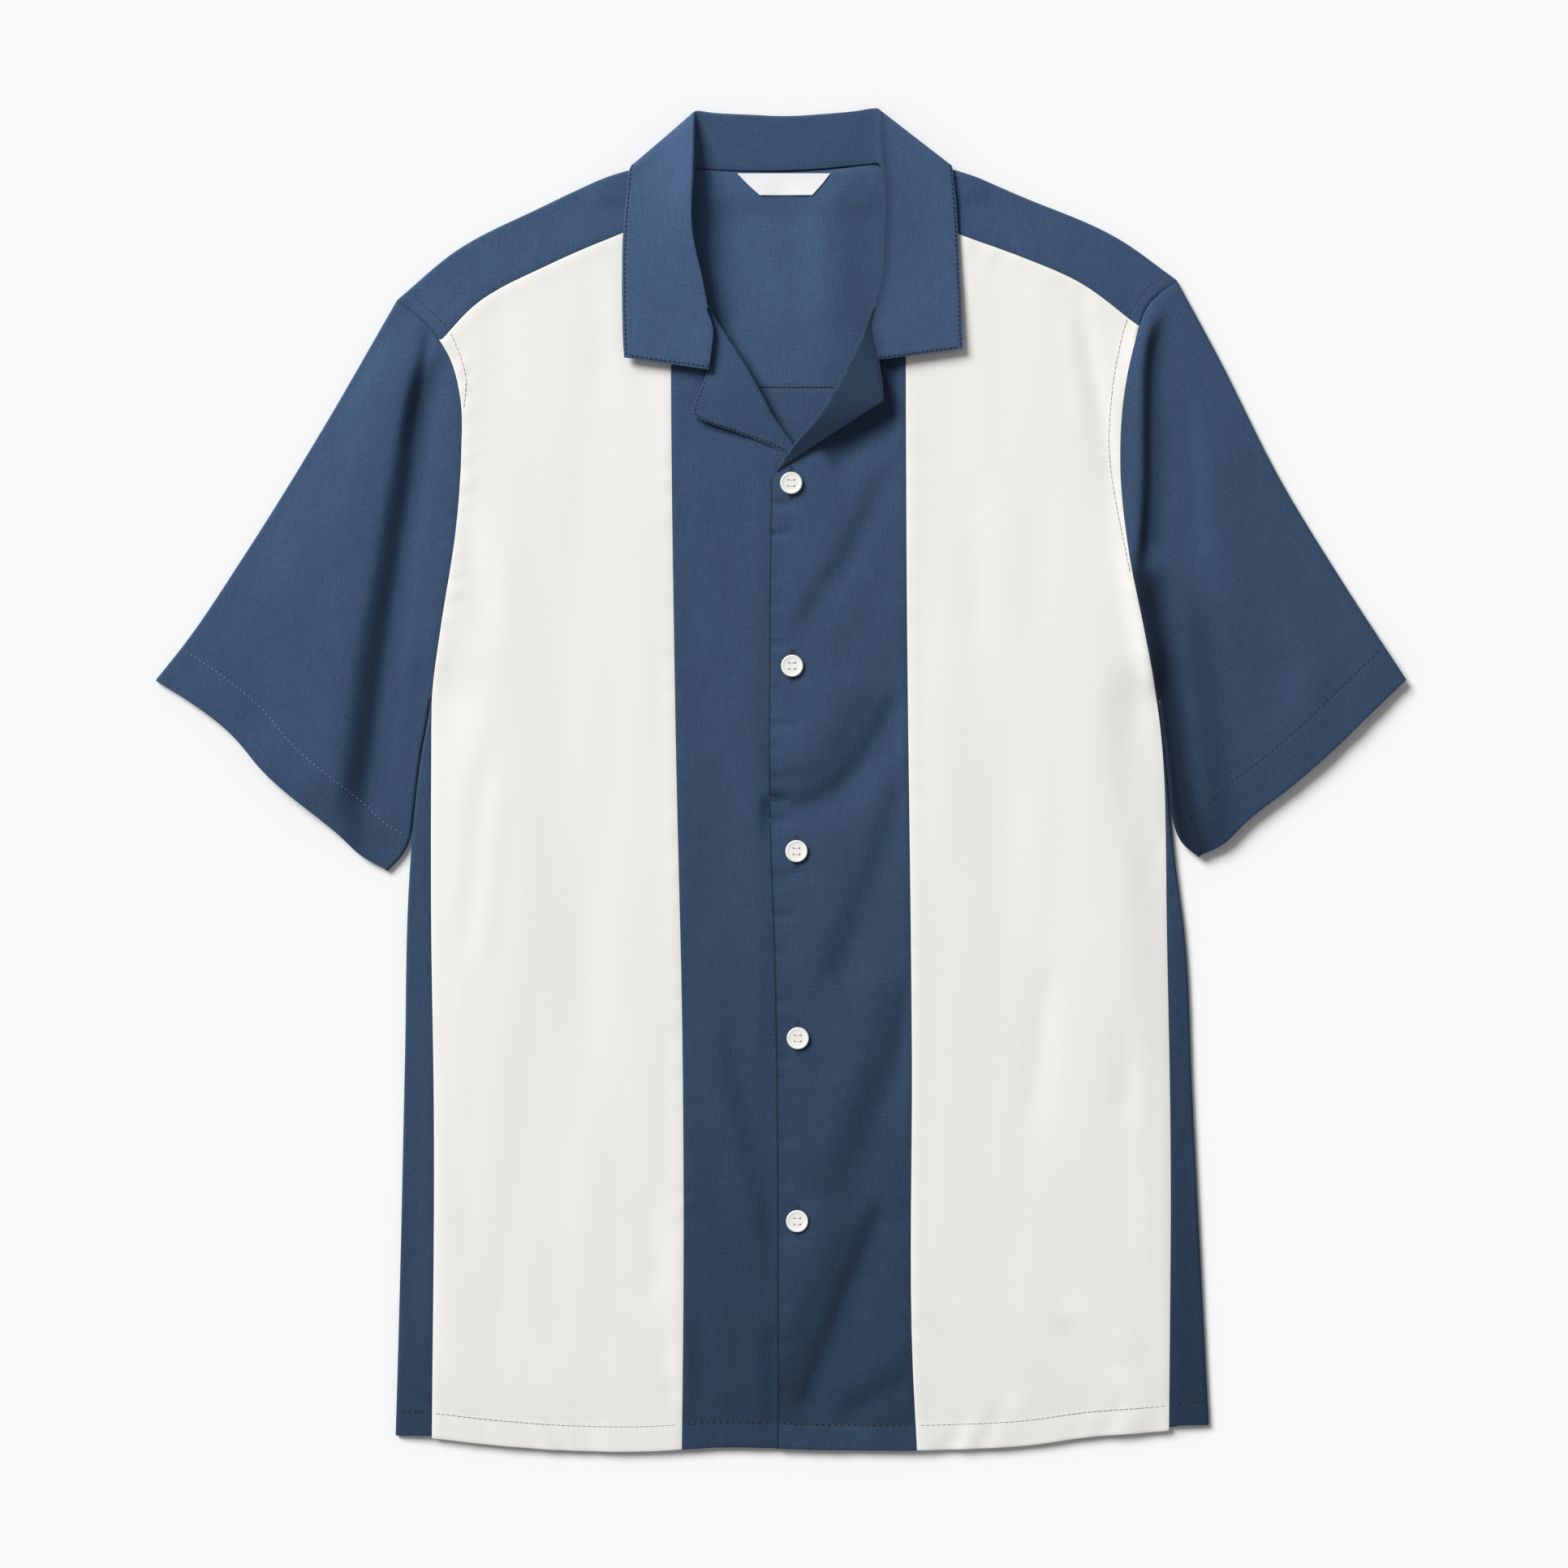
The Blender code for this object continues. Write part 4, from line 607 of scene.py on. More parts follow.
# The cut of each piece laid flat, in metres: width, length and area
Cut = namedtuple("Cut", "width length area")
CLOTHS = {"blue_twill": "Blue twill", "cream_twill": "Cream twill", "label_white": "Label satin"}


def smooth(value):
    """0 to 1 with level ends."""
    value = np.clip(value, 0.0, 1.0)
    return value * value * (3.0 - 2.0 * value)


def at_most(value, limit, ease=LIMIT_EASE):
    """The value, eased to a highest one."""
    return limit - ease * np.logaddexp(0.0, (limit - value) / ease)


def at_least(value, limit, ease=LIMIT_EASE):
    """The value, eased to a lowest one."""
    return limit + ease * np.logaddexp(0.0, (value - limit) / ease)


def bump(away, width):
    """1 on a line, falling to 0 beside it."""
    return np.exp(-((away / width) ** 2))


def unit(vectors):
    """Plan or space vectors at length 1."""
    return vectors / np.linalg.norm(vectors, axis=1)[:, None]


def between(first, last, share):
    """A share of the way from the first to the last."""
    return first * (1.0 - share) + last * share


def with_heights(plans, heights):
    """Plan points with their heights."""
    return np.concatenate([plans, heights[..., None]], axis=-1)


def summed(steps):
    """Length from the start to each point, from the lengths of the steps."""
    return np.concatenate([[0.0], np.cumsum(steps)])


def along_rows(table, places):
    """Rows of a table at fractional places between its own rows, on a smooth curve."""
    table = np.array(table, float)
    steps = np.maximum(np.linalg.norm(np.diff(table, axis=0), axis=1), 1e-6)
    slopes = np.gradient(table, summed(steps), axis=0)
    start = np.minimum(np.floor(places).astype(int), len(table) - 2)
    t = (places - start)[:, None]
    length = steps[start][:, None]
    curve = between(table[start], table[start + 1], t * t * (3.0 - 2.0 * t))
    curve += slopes[start] * length * t * (1.0 - t) ** 2
    return curve - slopes[start + 1] * length * t * t * (1.0 - t)


def smooth_line(points, steps=STEPS):
    """A curve through the points, as short steps."""
    return along_rows(points, np.linspace(0.0, len(points) - 1.0, (len(points) - 1) * steps + 1))


def cornered(points, corner):
    """A curve through the points that breaks at one of them."""
    place = points.index(corner)
    return np.concatenate([smooth_line(points[: place + 1]), smooth_line(points[place:])[1:]])


def lengths_along(line):
    """The distance in plan from the line's start to each of its points."""
    return summed(np.linalg.norm(np.diff(line[:, :2], axis=0), axis=1))


def shares_along(line):
    """The same distances as shares of the line's length."""
    lengths = lengths_along(line)
    return lengths / lengths[-1]


def at_places(line, place, places):
    """Points of a line at the given places, from the place of each of its own points."""
    return np.stack([np.interp(places, place, values) for values in line.T], axis=1)


def at_shares(line, shares):
    """Points at the given shares of a line's length."""
    return at_places(line, shares_along(line), shares)


def spread(line, count):
    """count + 1 points at equal distances along a line."""
    return at_shares(line, np.linspace(0.0, 1.0, count + 1))


def x_at(line, y):
    """x of a line that runs up or down the shirt."""
    order = np.argsort(line[:, 1])
    return np.interp(y, line[order, 1], line[order, 0])


def y_at(line, x):
    """y of a line that runs across the shirt."""
    order = np.argsort(line[:, 0])
    return np.interp(x, line[order, 0], line[order, 1])


def at_heights(line, heights):
    """The line's plan points at the given y."""
    return np.stack([x_at(line, heights), heights], axis=1)


def at_widths(line, widths):
    """The line's plan points at the given x."""
    return np.stack([widths, y_at(line, widths)], axis=1)


def normals_of(line):
    """Unit plan vectors to the left of a line's direction."""
    along = unit(np.gradient(line[:, :2], axis=0))
    return np.stack([-along[:, 1], along[:, 0]], axis=1)


def shifted(line, distance):
    """A plan line moved to its left."""
    return line[:, :2] + normals_of(line) * distance


def nearest(line, point):
    """Index of the line's point nearest to a plan point."""
    return int(np.argmin(np.linalg.norm(line - np.array(point), axis=1)))


def beside(line, plans):
    """Distance of plan points to a line, positive on its left, and their place along it."""
    start, step = line[:-1, :2], np.diff(line[:, :2], axis=0)
    lengths = np.linalg.norm(step, axis=1)
    offset = plans[:, None, :] - start
    share = np.clip((offset * step).sum(axis=2) / lengths**2, 0.0, 1.0)
    gap = offset - step * share[..., None]
    away = np.linalg.norm(gap, axis=2)
    best = away.argmin(axis=1)
    row = np.arange(len(plans))
    side = step[best, 0] * gap[row, best, 1] - step[best, 1] * gap[row, best, 0]
    place = (np.cumsum(lengths) - lengths)[best] + share[row, best] * lengths[best]
    return np.where(side < 0.0, -away[row, best], away[row, best]), place


def near(lines, plans):
    """Distance of plan points to the nearest of the lines."""
    return np.min([np.abs(beside(line, plans)[0]) for line in lines], axis=0)


def graded(length, step=STEP, start=True, end=True):
    """Shares along a width, with closer lines beside the ends that are edges."""
    offsets = np.array([offset for offset in EDGE_OFFSETS if offset < length / 3.0])
    first = offsets if start else offsets[:1]
    last = offsets if end else offsets[:1]
    space = length - first[-1] - last[-1]
    middle = np.linspace(first[-1], length - last[-1], max(int(round(space / step)), 1) + 1)
    return np.concatenate([first[:-1], middle, length - last[:-1][::-1]]) / length


def closing(length, count):
    """count + 1 shares along a length, with closer lines beside its end."""
    offsets = np.array(EDGE_OFFSETS)
    free = np.linspace(0.0, length - offsets[-1], count + 2 - len(offsets))
    return np.concatenate([free, length - offsets[:-1][::-1]]) / length


def patch(bottom, top, left, right):
    """Rows of points that fill the space between four border lines (a Coons patch)."""
    u = ((shares_along(bottom) + shares_along(top)) / 2)[None, :, None]
    v = ((shares_along(left) + shares_along(right)) / 2)[:, None, None]
    across = between(left[:, None], right[:, None], u)
    along = between(bottom[None], top[None], v)
    first, last = between(bottom[0], top[0], v), between(bottom[-1], top[-1], v)
    return across + along - first * (1.0 - u) - last * u


SIDES = {"right": RIGHT, "left": LEFT}


def side_lines(part):
    """One line of each side as a smooth curve."""
    return {name: smooth_line(getattr(side, part)) for name, side in SIDES.items()}


HEM_LINE = smooth_line(HEM)
TOP_FOLDS = {name: cornered(side.top_fold, side.tip) for name, side in SIDES.items()}
SIDE_FOLDS = side_lines("side_fold")
ARMHOLES = side_lines("armhole")
SIDE_SEAMS = side_lines("side_seam")
YOKE_SEAMS = side_lines("yoke_seam")
PRINCESS_SEAMS = side_lines("princess")
EDGE_LINES = {name: smooth_line(points) for name, points in FRONT_EDGES.items()}


def underarm_line(side):
    """Silhouette of the sleeve's lower fold, beside the body's side and then out to the cuff."""
    close = at_heights(SIDE_FOLDS[side.name], np.linspace(ARMPIT, UNDERARM_END, 5))
    close[:, 0] += side.sign * UNDERARM_SPACE
    return smooth_line([tuple(point) for point in close] + list(side.underarm))


UNDERARMS = {name: underarm_line(side) for name, side in SIDES.items()}
CUFFS = {
    name: smooth_line([side.top_fold[-1], *side.cuff, side.underarm[-1]])
    for name, side in SIDES.items()
}
FOLDED_EDGES = [
    *TOP_FOLDS.values(),
    *[line[line[:, 1] < ARMPIT] for line in SIDE_FOLDS.values()],
    *UNDERARMS.values(),
]
OPEN_EDGES = [HEM_LINE] + list(CUFFS.values())
SEWN_LINES = {"hem": HEM_LINE}
for name, line in EDGE_LINES.items():
    SEWN_LINES[f"{name}_front_edge"] = line[::-1]
for part, lines in (
    ("armhole", ARMHOLES), ("yoke", YOKE_SEAMS), ("princess", PRINCESS_SEAMS), ("cuff", CUFFS)
):
    SEWN_LINES.update({f"{name}_{part}": line for name, line in lines.items()})
ARMHOLE_STITCHES = {name: smooth_line(points) for name, points in ARMHOLE_ROWS.items()}
SEAM_LINES = [
    line
    for lines in (YOKE_SEAMS, PRINCESS_SEAMS, SIDE_SEAMS, ARMHOLES)
    for line in lines.values()
]


def creases(plans, folds):
    """Height of the placed creases at plan points."""
    total = np.zeros(len(plans))
    for fold in folds:
        line = smooth_line(fold.points, 4)
        away, place = beside(line, plans)
        share = place / lengths_along(line)[-1]
        width = np.where(away > 0.0, fold.left, fold.right)
        fade = smooth(share / fold.fade) * smooth((1.0 - share) / fold.fade)
        total += fold.height * bump(away, width) * fade
    return total


def grid_creases(points, folds):
    """The same at the points of a grid."""
    return creases(points[..., :2].reshape(-1, 2), folds).reshape(points.shape[:2])


def left_creases(plans):
    """The left front's creases, which fade out past its edge."""
    x, y = plans.T
    shown = smooth((x - x_at(EDGE_LINES["left"], y)) / CENTER_FADE + 1.0)
    return creases(plans, LEFT_FRONT_CREASES) * shown


def placed_creases(plans):
    """All creases of the front layer: those of the centre panels end at their seams."""
    x, y = plans.T
    inside = smooth((x - x_at(PRINCESS_SEAMS["right"], y)) / CENTER_FADE)
    inside *= smooth((x_at(PRINCESS_SEAMS["left"], y) - x) / CENTER_FADE)
    center = left_creases(plans) + creases(plans, RIGHT_FRONT_CREASES)
    return creases(plans, SLEEVE_CREASES + SIDE_PANEL_CREASES) + center * inside


def swells(plans):
    """Height of the cloth's slow swell."""
    total = np.zeros(len(plans))
    for length, direction, height, start in SWELLS:
        turn = math.radians(direction)
        way = plans @ np.array([math.cos(turn), math.sin(turn)])
        total += height * np.sin(2.0 * math.pi * way / length + start)
    return total


def gathers(plans):
    """Height of the small gathers that sewing leaves beside a line."""
    total = np.zeros(len(plans))
    for row in GATHERS:
        away, place = beside(SEWN_LINES[row.line], plans)
        turn = 2.0 * math.pi * (place + row.slant * away) / row.pitch + row.seed
        wave = np.sin(turn + GATHERS_WANDER * np.sin(WANDER_PACE * turn + row.seed))
        wave *= GATHERS_LEAST + GATHERS_SWING * np.sin(SWING_PACE * turn + 2.0 * row.seed)
        part = smooth((place - row.start) / GATHERS_FADE) * smooth((row.end - place) / GATHERS_FADE)
        total += row.height * wave * bump(away, row.reach) * part
    return total


def sewn_marks(plans, end):
    """Dips at the seams, ridges of their allowances, and the bands at the hem and the cuffs."""
    seam = near(SEAM_LINES, plans)
    marks = -SEAM_DIP * bump(seam, SEAM_DIP_WIDTH)
    joined = near([line[line[:, 1] > YOKE_SEAM_END] for line in ARMHOLES.values()], plans)
    marks -= YOKE_SEAM_DIP * bump(joined, SEAM_DIP_WIDTH)
    marks += ALLOWANCE * bump(seam - ALLOWANCE_PLACE, ALLOWANCE_WIDTH)
    marks -= EDGE_ROLL * bump(end, EDGE_ROLL_WIDTH)
    for lines, depth in (([HEM_LINE], HEM_DEPTH), (CUFFS.values(), CUFF_DEPTH)):
        away = near(lines, plans)
        marks += BAND_RISE * smooth((depth + BAND_END - away) / BAND_STEP)
        marks -= GROOVE * bump(away - depth, GROOVE_WIDTH)
    marks -= ARMHOLE_GROOVE * GROOVE * bump(near(ARMHOLE_STITCHES.values(), plans), GROOVE_WIDTH)
    return marks


def front_top(plans):
    """Height of the front layer's outer face, for the body and the sleeves alike."""
    edge = near(FOLDED_EDGES, plans)
    end = near(OPEN_EDGES, plans)
    fill = FILL * (OPEN_SHARE + (1.0 - OPEN_SHARE) * smooth(end / OPEN_REACH))
    relief = (placed_creases(plans) + swells(plans)) * smooth((edge + RELIEF_START) / RELIEF_REACH)
    top = FOLD_HEIGHT + fill * smooth(edge / EDGE_REACH) + relief
    top += (gathers(plans) + sewn_marks(plans, end)) * smooth((edge + MARKS_START) / MARKS_REACH)
    for center in BUTTON_CENTERS:
        top -= BUTTON_SINK * bump(np.linalg.norm(plans - center, axis=1), BUTTON_SINK_REACH)
    x, y = plans.T
    covered = smooth((y - COVER_START) / COVER_FADE)
    covered *= smooth((COVER_WIDTH - np.abs(x - COVER_MIDDLE)) / COVER_SIDE_FADE)
    highest = HIGHEST_TOP + (COVERED_TOP - HIGHEST_TOP) * covered
    return at_least(at_most(top, highest), LOWEST_TOP)


def floor_level(plans):
    """Height of a layer that lies on the floor."""
    return np.zeros(len(plans))


def neck_lift(plans):
    """How far the back yoke is raised by the collar's fall under it."""
    x, y = plans.T
    wide = smooth((LIFT_WIDTH - np.abs(x - MIDDLE)) / LIFT_FADE)
    lift = COLLAR_LIFT * wide * smooth((y - LIFT_START) / (LIFT_FULL - LIFT_START))
    return lift + creases(plans, NECK_CREASES) * smooth((y - BACK_YOKE_SEAM) / NECK_FADE)


def yoke_top(plans):
    """Height of the yoke's front, which clears its own raised back."""
    return np.maximum(front_top(plans), neck_lift(plans) + FOLD_HEIGHT)


def under_front_top(plans):
    """The right front, lower where the left one laps over it, and flat under its ridges."""
    drop = UNDER_DROP * smooth((plans[:, 0] - DROP_START) / (DROP_FULL - DROP_START))
    drop += np.maximum(left_creases(plans), 0.0)
    return at_least(front_top(plans) + creases(plans, UNDER_CREASES) - drop, UNDER_LOWEST)


def cuff_lift(plans):
    """How far the left sleeve's end curls off the floor."""
    away = np.abs(beside(CUFFS["left"], plans)[0])
    return CUFF_LIFT * smooth(1.0 - away / CUFF_LIFT_REACH)


def left_sleeve_top(plans):
    """The left sleeve's front layer."""
    top = at_least(front_top(plans) + creases(plans, LEFT_UNDERARM_CREASES), LOWEST_TOP)
    return top + cuff_lift(plans)


def puckers(plans):
    """Depth of the short puckers beside the left front's edge."""
    total = np.zeros(len(plans))
    for place, length, rise, depth in PUCKERS:
        x = x_at(EDGE_LINES["left"], place)
        middle, end = (x + length / 2, place + rise / 2), (x + length, place + rise)
        line = ((x - PUCKER_START, place), middle, end)
        total += creases(plans, [Fold(line, *PUCKER_WIDTHS, PUCKER_DEPTH * depth)])
    return total


def over_front_top(plans):
    """The left front, higher where it crosses the right lapel and over the right front's edge."""
    away = np.linalg.norm(plans - np.array(CROSSING), axis=1)
    top = front_top(plans) + puckers(plans) + CROSSING_RISE * bump(away, CROSSING_REACH)
    return top + OVER_RISE * smooth((OVER_START - plans[:, 0]) / (OVER_START - OVER_FULL))


def raised(plans, height_of):
    """A grid of plan points with its heights."""
    return with_heights(plans, height_of(plans.reshape(-1, 2)).reshape(plans.shape[:2]))


def folded_round(low, high, outward, reach, parts=FOLD_PARTS):
    """Columns round a folded edge from its lower to its upper layer, both ends kept."""
    columns = []
    for part in range(parts + 1):
        angle = math.pi * (part / parts - 0.5)
        share = (1.0 + math.sin(angle)) / 2.0
        plan = between(low[:, :2], high[:, :2], share) + outward * reach * math.cos(angle)
        columns.append(with_heights(plan, between(low[:, 2], high[:, 2], share)))
    return np.stack(columns, axis=1)


def sizes():
    """The sizes that the panel shows."""
    return bpy.context.scene.shirt_sizes


def finishes():
    """The colours that the panel shows."""
    return bpy.context.scene.shirt_colours


def laid_grid(form, points, weave, nap):
    """One grid of the bmesh, its vertices moved to the points, with their weave and painted shade.
    """
    layer = form.loops.layers.uv.get("weave") or form.loops.layers.uv.new("weave")
    # depth is the layer that holds each point's painted shade
    depth = form.verts.layers.float.get("nap") or form.verts.layers.float.new("nap")
    rows, columns = points.shape[:2]
    made = bmesh.ops.create_grid(form, x_segments=columns - 1, y_segments=rows - 1, size=1.0)
    verts = made["verts"]
    spots = {}
    for vert in verts:
        column = round((vert.co.x + 1.0) / 2.0 * (columns - 1))
        row = round((vert.co.y + 1.0) / 2.0 * (rows - 1))
        spots[vert] = (row, column)
    for vert, (row, column) in spots.items():
        vert.co = Vector(points[row, column]) * MM
        vert[depth] = nap[row, column]
    for face in {face for vert in verts for face in vert.link_faces}:
        face.smooth = True
        for loop in face.loops:
            loop[layer].uv = weave[spots[loop.vert]]


def plan_weaves(grids, turn=0.0):
    """Weave coordinates in metres: the plan, turned in degrees, with the warp along v."""
    angle = math.radians(turn)
    across = np.array([math.cos(angle), math.sin(angle)])
    along = np.array([-math.sin(angle), math.cos(angle)])
    return [
        np.stack([grid[..., :2] @ across, grid[..., :2] @ along], axis=-1) * MM for grid in grids
    ]


def run_weave(points):
    """Weave coordinates in metres from lengths along the rows and the columns."""
    across = np.linalg.norm(np.diff(points, axis=1), axis=2)
    across = np.concatenate([np.zeros((len(points), 1)), np.cumsum(across, axis=1)], axis=1)
    along = summed(np.linalg.norm(np.diff(points, axis=0), axis=2).mean(axis=1))
    return np.stack([across, np.broadcast_to(along[:, None], across.shape)], axis=-1) * MM


def cloth_piece(node, grids, weaves, slot, shade_paints=None, wall=None):
    """One cut piece that replaces its CAD node: grids sewn into a sheet, with wall and edges."""
    form = bmesh.new()
    for points, weave, nap in zip(grids, weaves, shade_paints or [0.0] * len(grids)):
        laid_grid(form, points, weave, np.broadcast_to(nap, points.shape[:2]))
    bmesh.ops.remove_doubles(form, verts=form.verts, dist=JOIN * MM)
    bmesh.ops.recalc_face_normals(form, faces=form.faces)
    level = [face for face in form.faces if abs(face.normal.z) > LEVEL]
    highest = max(level, key=lambda face: face.calc_center_median().z)
    if highest.normal.z < 0.0:
        bmesh.ops.reverse_faces(form, faces=form.faces)
    piece = finished(f"shirt_{node}", form, kept_look(CLOTHS[slot]))
    wall = wall or sizes().wall
    solid = piece.modifiers.new("Wall", "SOLIDIFY")
    solid.thickness = wall
    solid.offset = -1.0
    solid.use_even_offset = True
    solid.use_quality_normals = True
    edge = piece.modifiers.new("Edge", "BEVEL")
    edge.width = wall * EDGE_SHARE
    edge.segments = 2
    edge.limit_method = "ANGLE"
    edge.angle_limit = math.radians(EDGE_ANGLE)
    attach(piece, "root")
    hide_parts(node)
    return piece


def finished(name, form, look):
    """An object from a bmesh, with its material."""
    mesh = bpy.data.meshes.new(name)
    form.to_mesh(mesh)
    form.free()
    piece = bpy.data.objects.new(name, mesh)
    bpy.context.scene.collection.objects.link(piece)
    mesh.materials.append(look)
    return piece


def body_edge(side):
    """The body's outer seam edge from the hem up: the side seam, then the armhole."""
    seam = SIDE_SEAMS[side.name] - np.array([side.sign * SEAM / 2, 0.0])
    hole = shifted(ARMHOLES[side.name], -side.sign * SEAM / 2)
    return np.concatenate([seam[seam[:, 1] < ARMPIT][::-1], hole[hole[:, 1] >= ARMPIT][::-1]])


def flat_grid(x, y):
    """A grid on the floor from its x and y."""
    return np.stack([x, np.broadcast_to(y, x.shape), np.zeros_like(x)], axis=2)


def back_grids():
    """Back: flat on the floor, wrapped round both sides to the forward side seams."""
    hems = {name: y_at(HEM_LINE, line[-1][0]) for name, line in SIDE_FOLDS.items()}
    shares = graded(ARMPIT - min(hems.values()), step=BACK_STEP, end=False)
    grids, folds, heights = [], {}, {}
    for name, side in SIDES.items():
        y = hems[name] + (ARMPIT - hems[name]) * shares
        seam = x_at(SIDE_SEAMS[name], y) + side.sign * SEAM / 2
        fold = x_at(SIDE_FOLDS[name], y) - side.sign * FOLD_RADIUS
        fold = np.where(side.sign * (fold - seam) < SEAM, seam + side.sign * SEAM, fold)
        across = graded(float(np.abs(fold - seam).max()), step=WRAP_STEP, end=False)
        plans = seam[:, None] + (fold - seam)[:, None] * across
        plans = np.stack([plans, np.broadcast_to(y[:, None], plans.shape)], axis=2)
        strip = raised(plans, front_top)
        low = np.stack([fold, y, np.zeros(len(y))], axis=1)
        outward = np.array([side.sign, 0.0])
        reach = np.abs(x_at(SIDE_FOLDS[name], y) - fold)[:, None]
        grids += [strip, folded_round(low, strip[:, -1], outward, reach)]
        folds[name], heights[name] = fold[:, None], y[:, None]
    u = np.linspace(0.0, 1.0, BACK_COLUMNS)
    x = between(folds["right"], folds["left"], u)
    y = between(heights["right"], heights["left"], u)
    straight = between(hems["right"], hems["left"], u)
    bow = y_at(HEM_LINE, x[0]) + BACK_HEM_RISE - straight
    bow[0] = bow[-1] = 0.0
    floor = flat_grid(x, y + bow * ((1.0 - shares) ** HEM_FADE)[:, None])
    y = np.linspace(ARMPIT, BACK_YOKE_SEAM - SEAM / 2, UPPER_BACK_ROWS)
    ends = [x_at(body_edge(side), y)[:, None] for side in (RIGHT, LEFT)]
    x = between(*ends, u)
    x[0] = floor[-1, :, 0]
    return grids + [floor, flat_grid(x, y[:, None])]


def fold_inset(side):
    """The line where the shoulder and sleeve fold begins, with its outward vectors."""
    line = TOP_FOLDS[side.name]
    outward = normals_of(line) * side.sign
    return line - outward * FOLD_RADIUS, outward


def yoke_half(side):
    """Grids of one half of the yoke: back layer, shoulder fold, front layer."""
    inset, outward = fold_inset(side)
    tip = nearest(TOP_FOLDS[side.name], side.tip)
    shares = graded(YOKE_WIDTH)
    fold = at_shares(inset[: tip + 1][::-1], shares)
    facing = unit(at_shares((outward + inset)[: tip + 1][::-1], shares) - fold)
    edge = body_edge(side)
    seam_y = BACK_YOKE_SEAM + SEAM / 2
    rows = np.linspace(0.0, 1.0, YOKE_ROWS)
    back_edge = at_heights(edge, seam_y + (fold[0][1] - seam_y) * rows)
    back_edge[-1] = fold[0]
    neck_x = fold[-1][0]
    start_x = back_edge[0][0]
    back_seam = start_x + (neck_x - start_x) * shares
    back_seam = np.stack([back_seam, np.full(len(shares), seam_y)], axis=1)
    neck_side = seam_y + (fold[-1][1] - seam_y) * rows
    neck_side = np.stack([np.full(len(rows), neck_x), neck_side], axis=1)
    back = raised(patch(back_seam, fold, back_edge, neck_side), neck_lift)
    seam = at_shares(shifted(YOKE_SEAMS[side.name], -side.sign * SEAM / 2), shares)
    down = graded(YOKE_DROP, step=YOKE_STEP, start=False)
    front_edge = at_heights(edge, fold[0][1] + (seam[0][1] - fold[0][1]) * down)
    front_edge[0] = fold[0]
    seam[0] = front_edge[-1]
    neck_edge = at_shares(np.array([fold[-1], seam[-1]]), down)
    front = raised(patch(fold, seam, front_edge, neck_edge), yoke_top)
    arc = folded_round(back[-1], front[0], facing, FOLD_RADIUS)
    return [back, arc, front], neck_side


def yoke_grids():
    """Back yoke: up the back, over both shoulders to the front yoke seams, round the neck."""
    right, right_neck = yoke_half(RIGHT)
    left, left_neck = yoke_half(LEFT)
    neck = smooth_line([right_neck[-1], *BACK_NECK, left_neck[-1]])
    bottom = at_shares(np.array([right_neck[0], left_neck[0]]), shares_along(neck))
    middle = raised(patch(bottom, neck, right_neck, left_neck), neck_lift)
    return right + left + [middle]


def side_grid(side):
    """Front between the armhole and side seam and the princess seam."""
    inset = side.sign * SEAM / 2
    edge = body_edge(side)
    princess = shifted(PRINCESS_SEAMS[side.name], inset)
    seam = shifted(YOKE_SEAMS[side.name], inset)
    ends = (x_at(edge, HEM_LINE[:, 1].mean()), PRINCESS_SEAMS[side.name][-1][0] + inset)
    across = graded(abs(ends[1] - ends[0]))
    hem = at_widths(HEM_LINE, ends[0] + (ends[1] - ends[0]) * across)
    start_x = x_at(edge, seam[0][1])
    end_x = PRINCESS_SEAMS[side.name][0][0] + inset
    top = at_widths(seam, start_x + (end_x - start_x) * across)
    up = graded(top[0][1] - hem[0][1])
    outer = at_heights(edge, hem[0][1] + (top[0][1] - hem[0][1]) * up)
    outer[0], outer[-1] = hem[0], top[0]
    inner = at_heights(princess, hem[-1][1] + (top[-1][1] - hem[-1][1]) * up)
    inner[0], inner[-1] = hem[-1], top[-1]
    return raised(patch(hem, top, outer, inner), front_top)


def edge_marks(away, roll=EDGE_ROLL, groove=TOPSTITCH_GROOVE):
    """Height of a pressed and topstitched edge at a distance from it."""
    sewn = -groove * bump(away - TOPSTITCH, TOPSTITCH_WIDTH)
    sewn += 0.5 * groove * bump(away - TOPSTITCH_RIDGE, TOPSTITCH_RIDGE_WIDTH)
    return sewn - roll * bump(away, EDGE_ROLL_WIDTH)


def lapel_rows(name, count):
    """A lapel's sections at even places of its table."""
    return along_rows(LAPELS[name], np.linspace(0.0, len(LAPELS[name]) - 1.0, count))


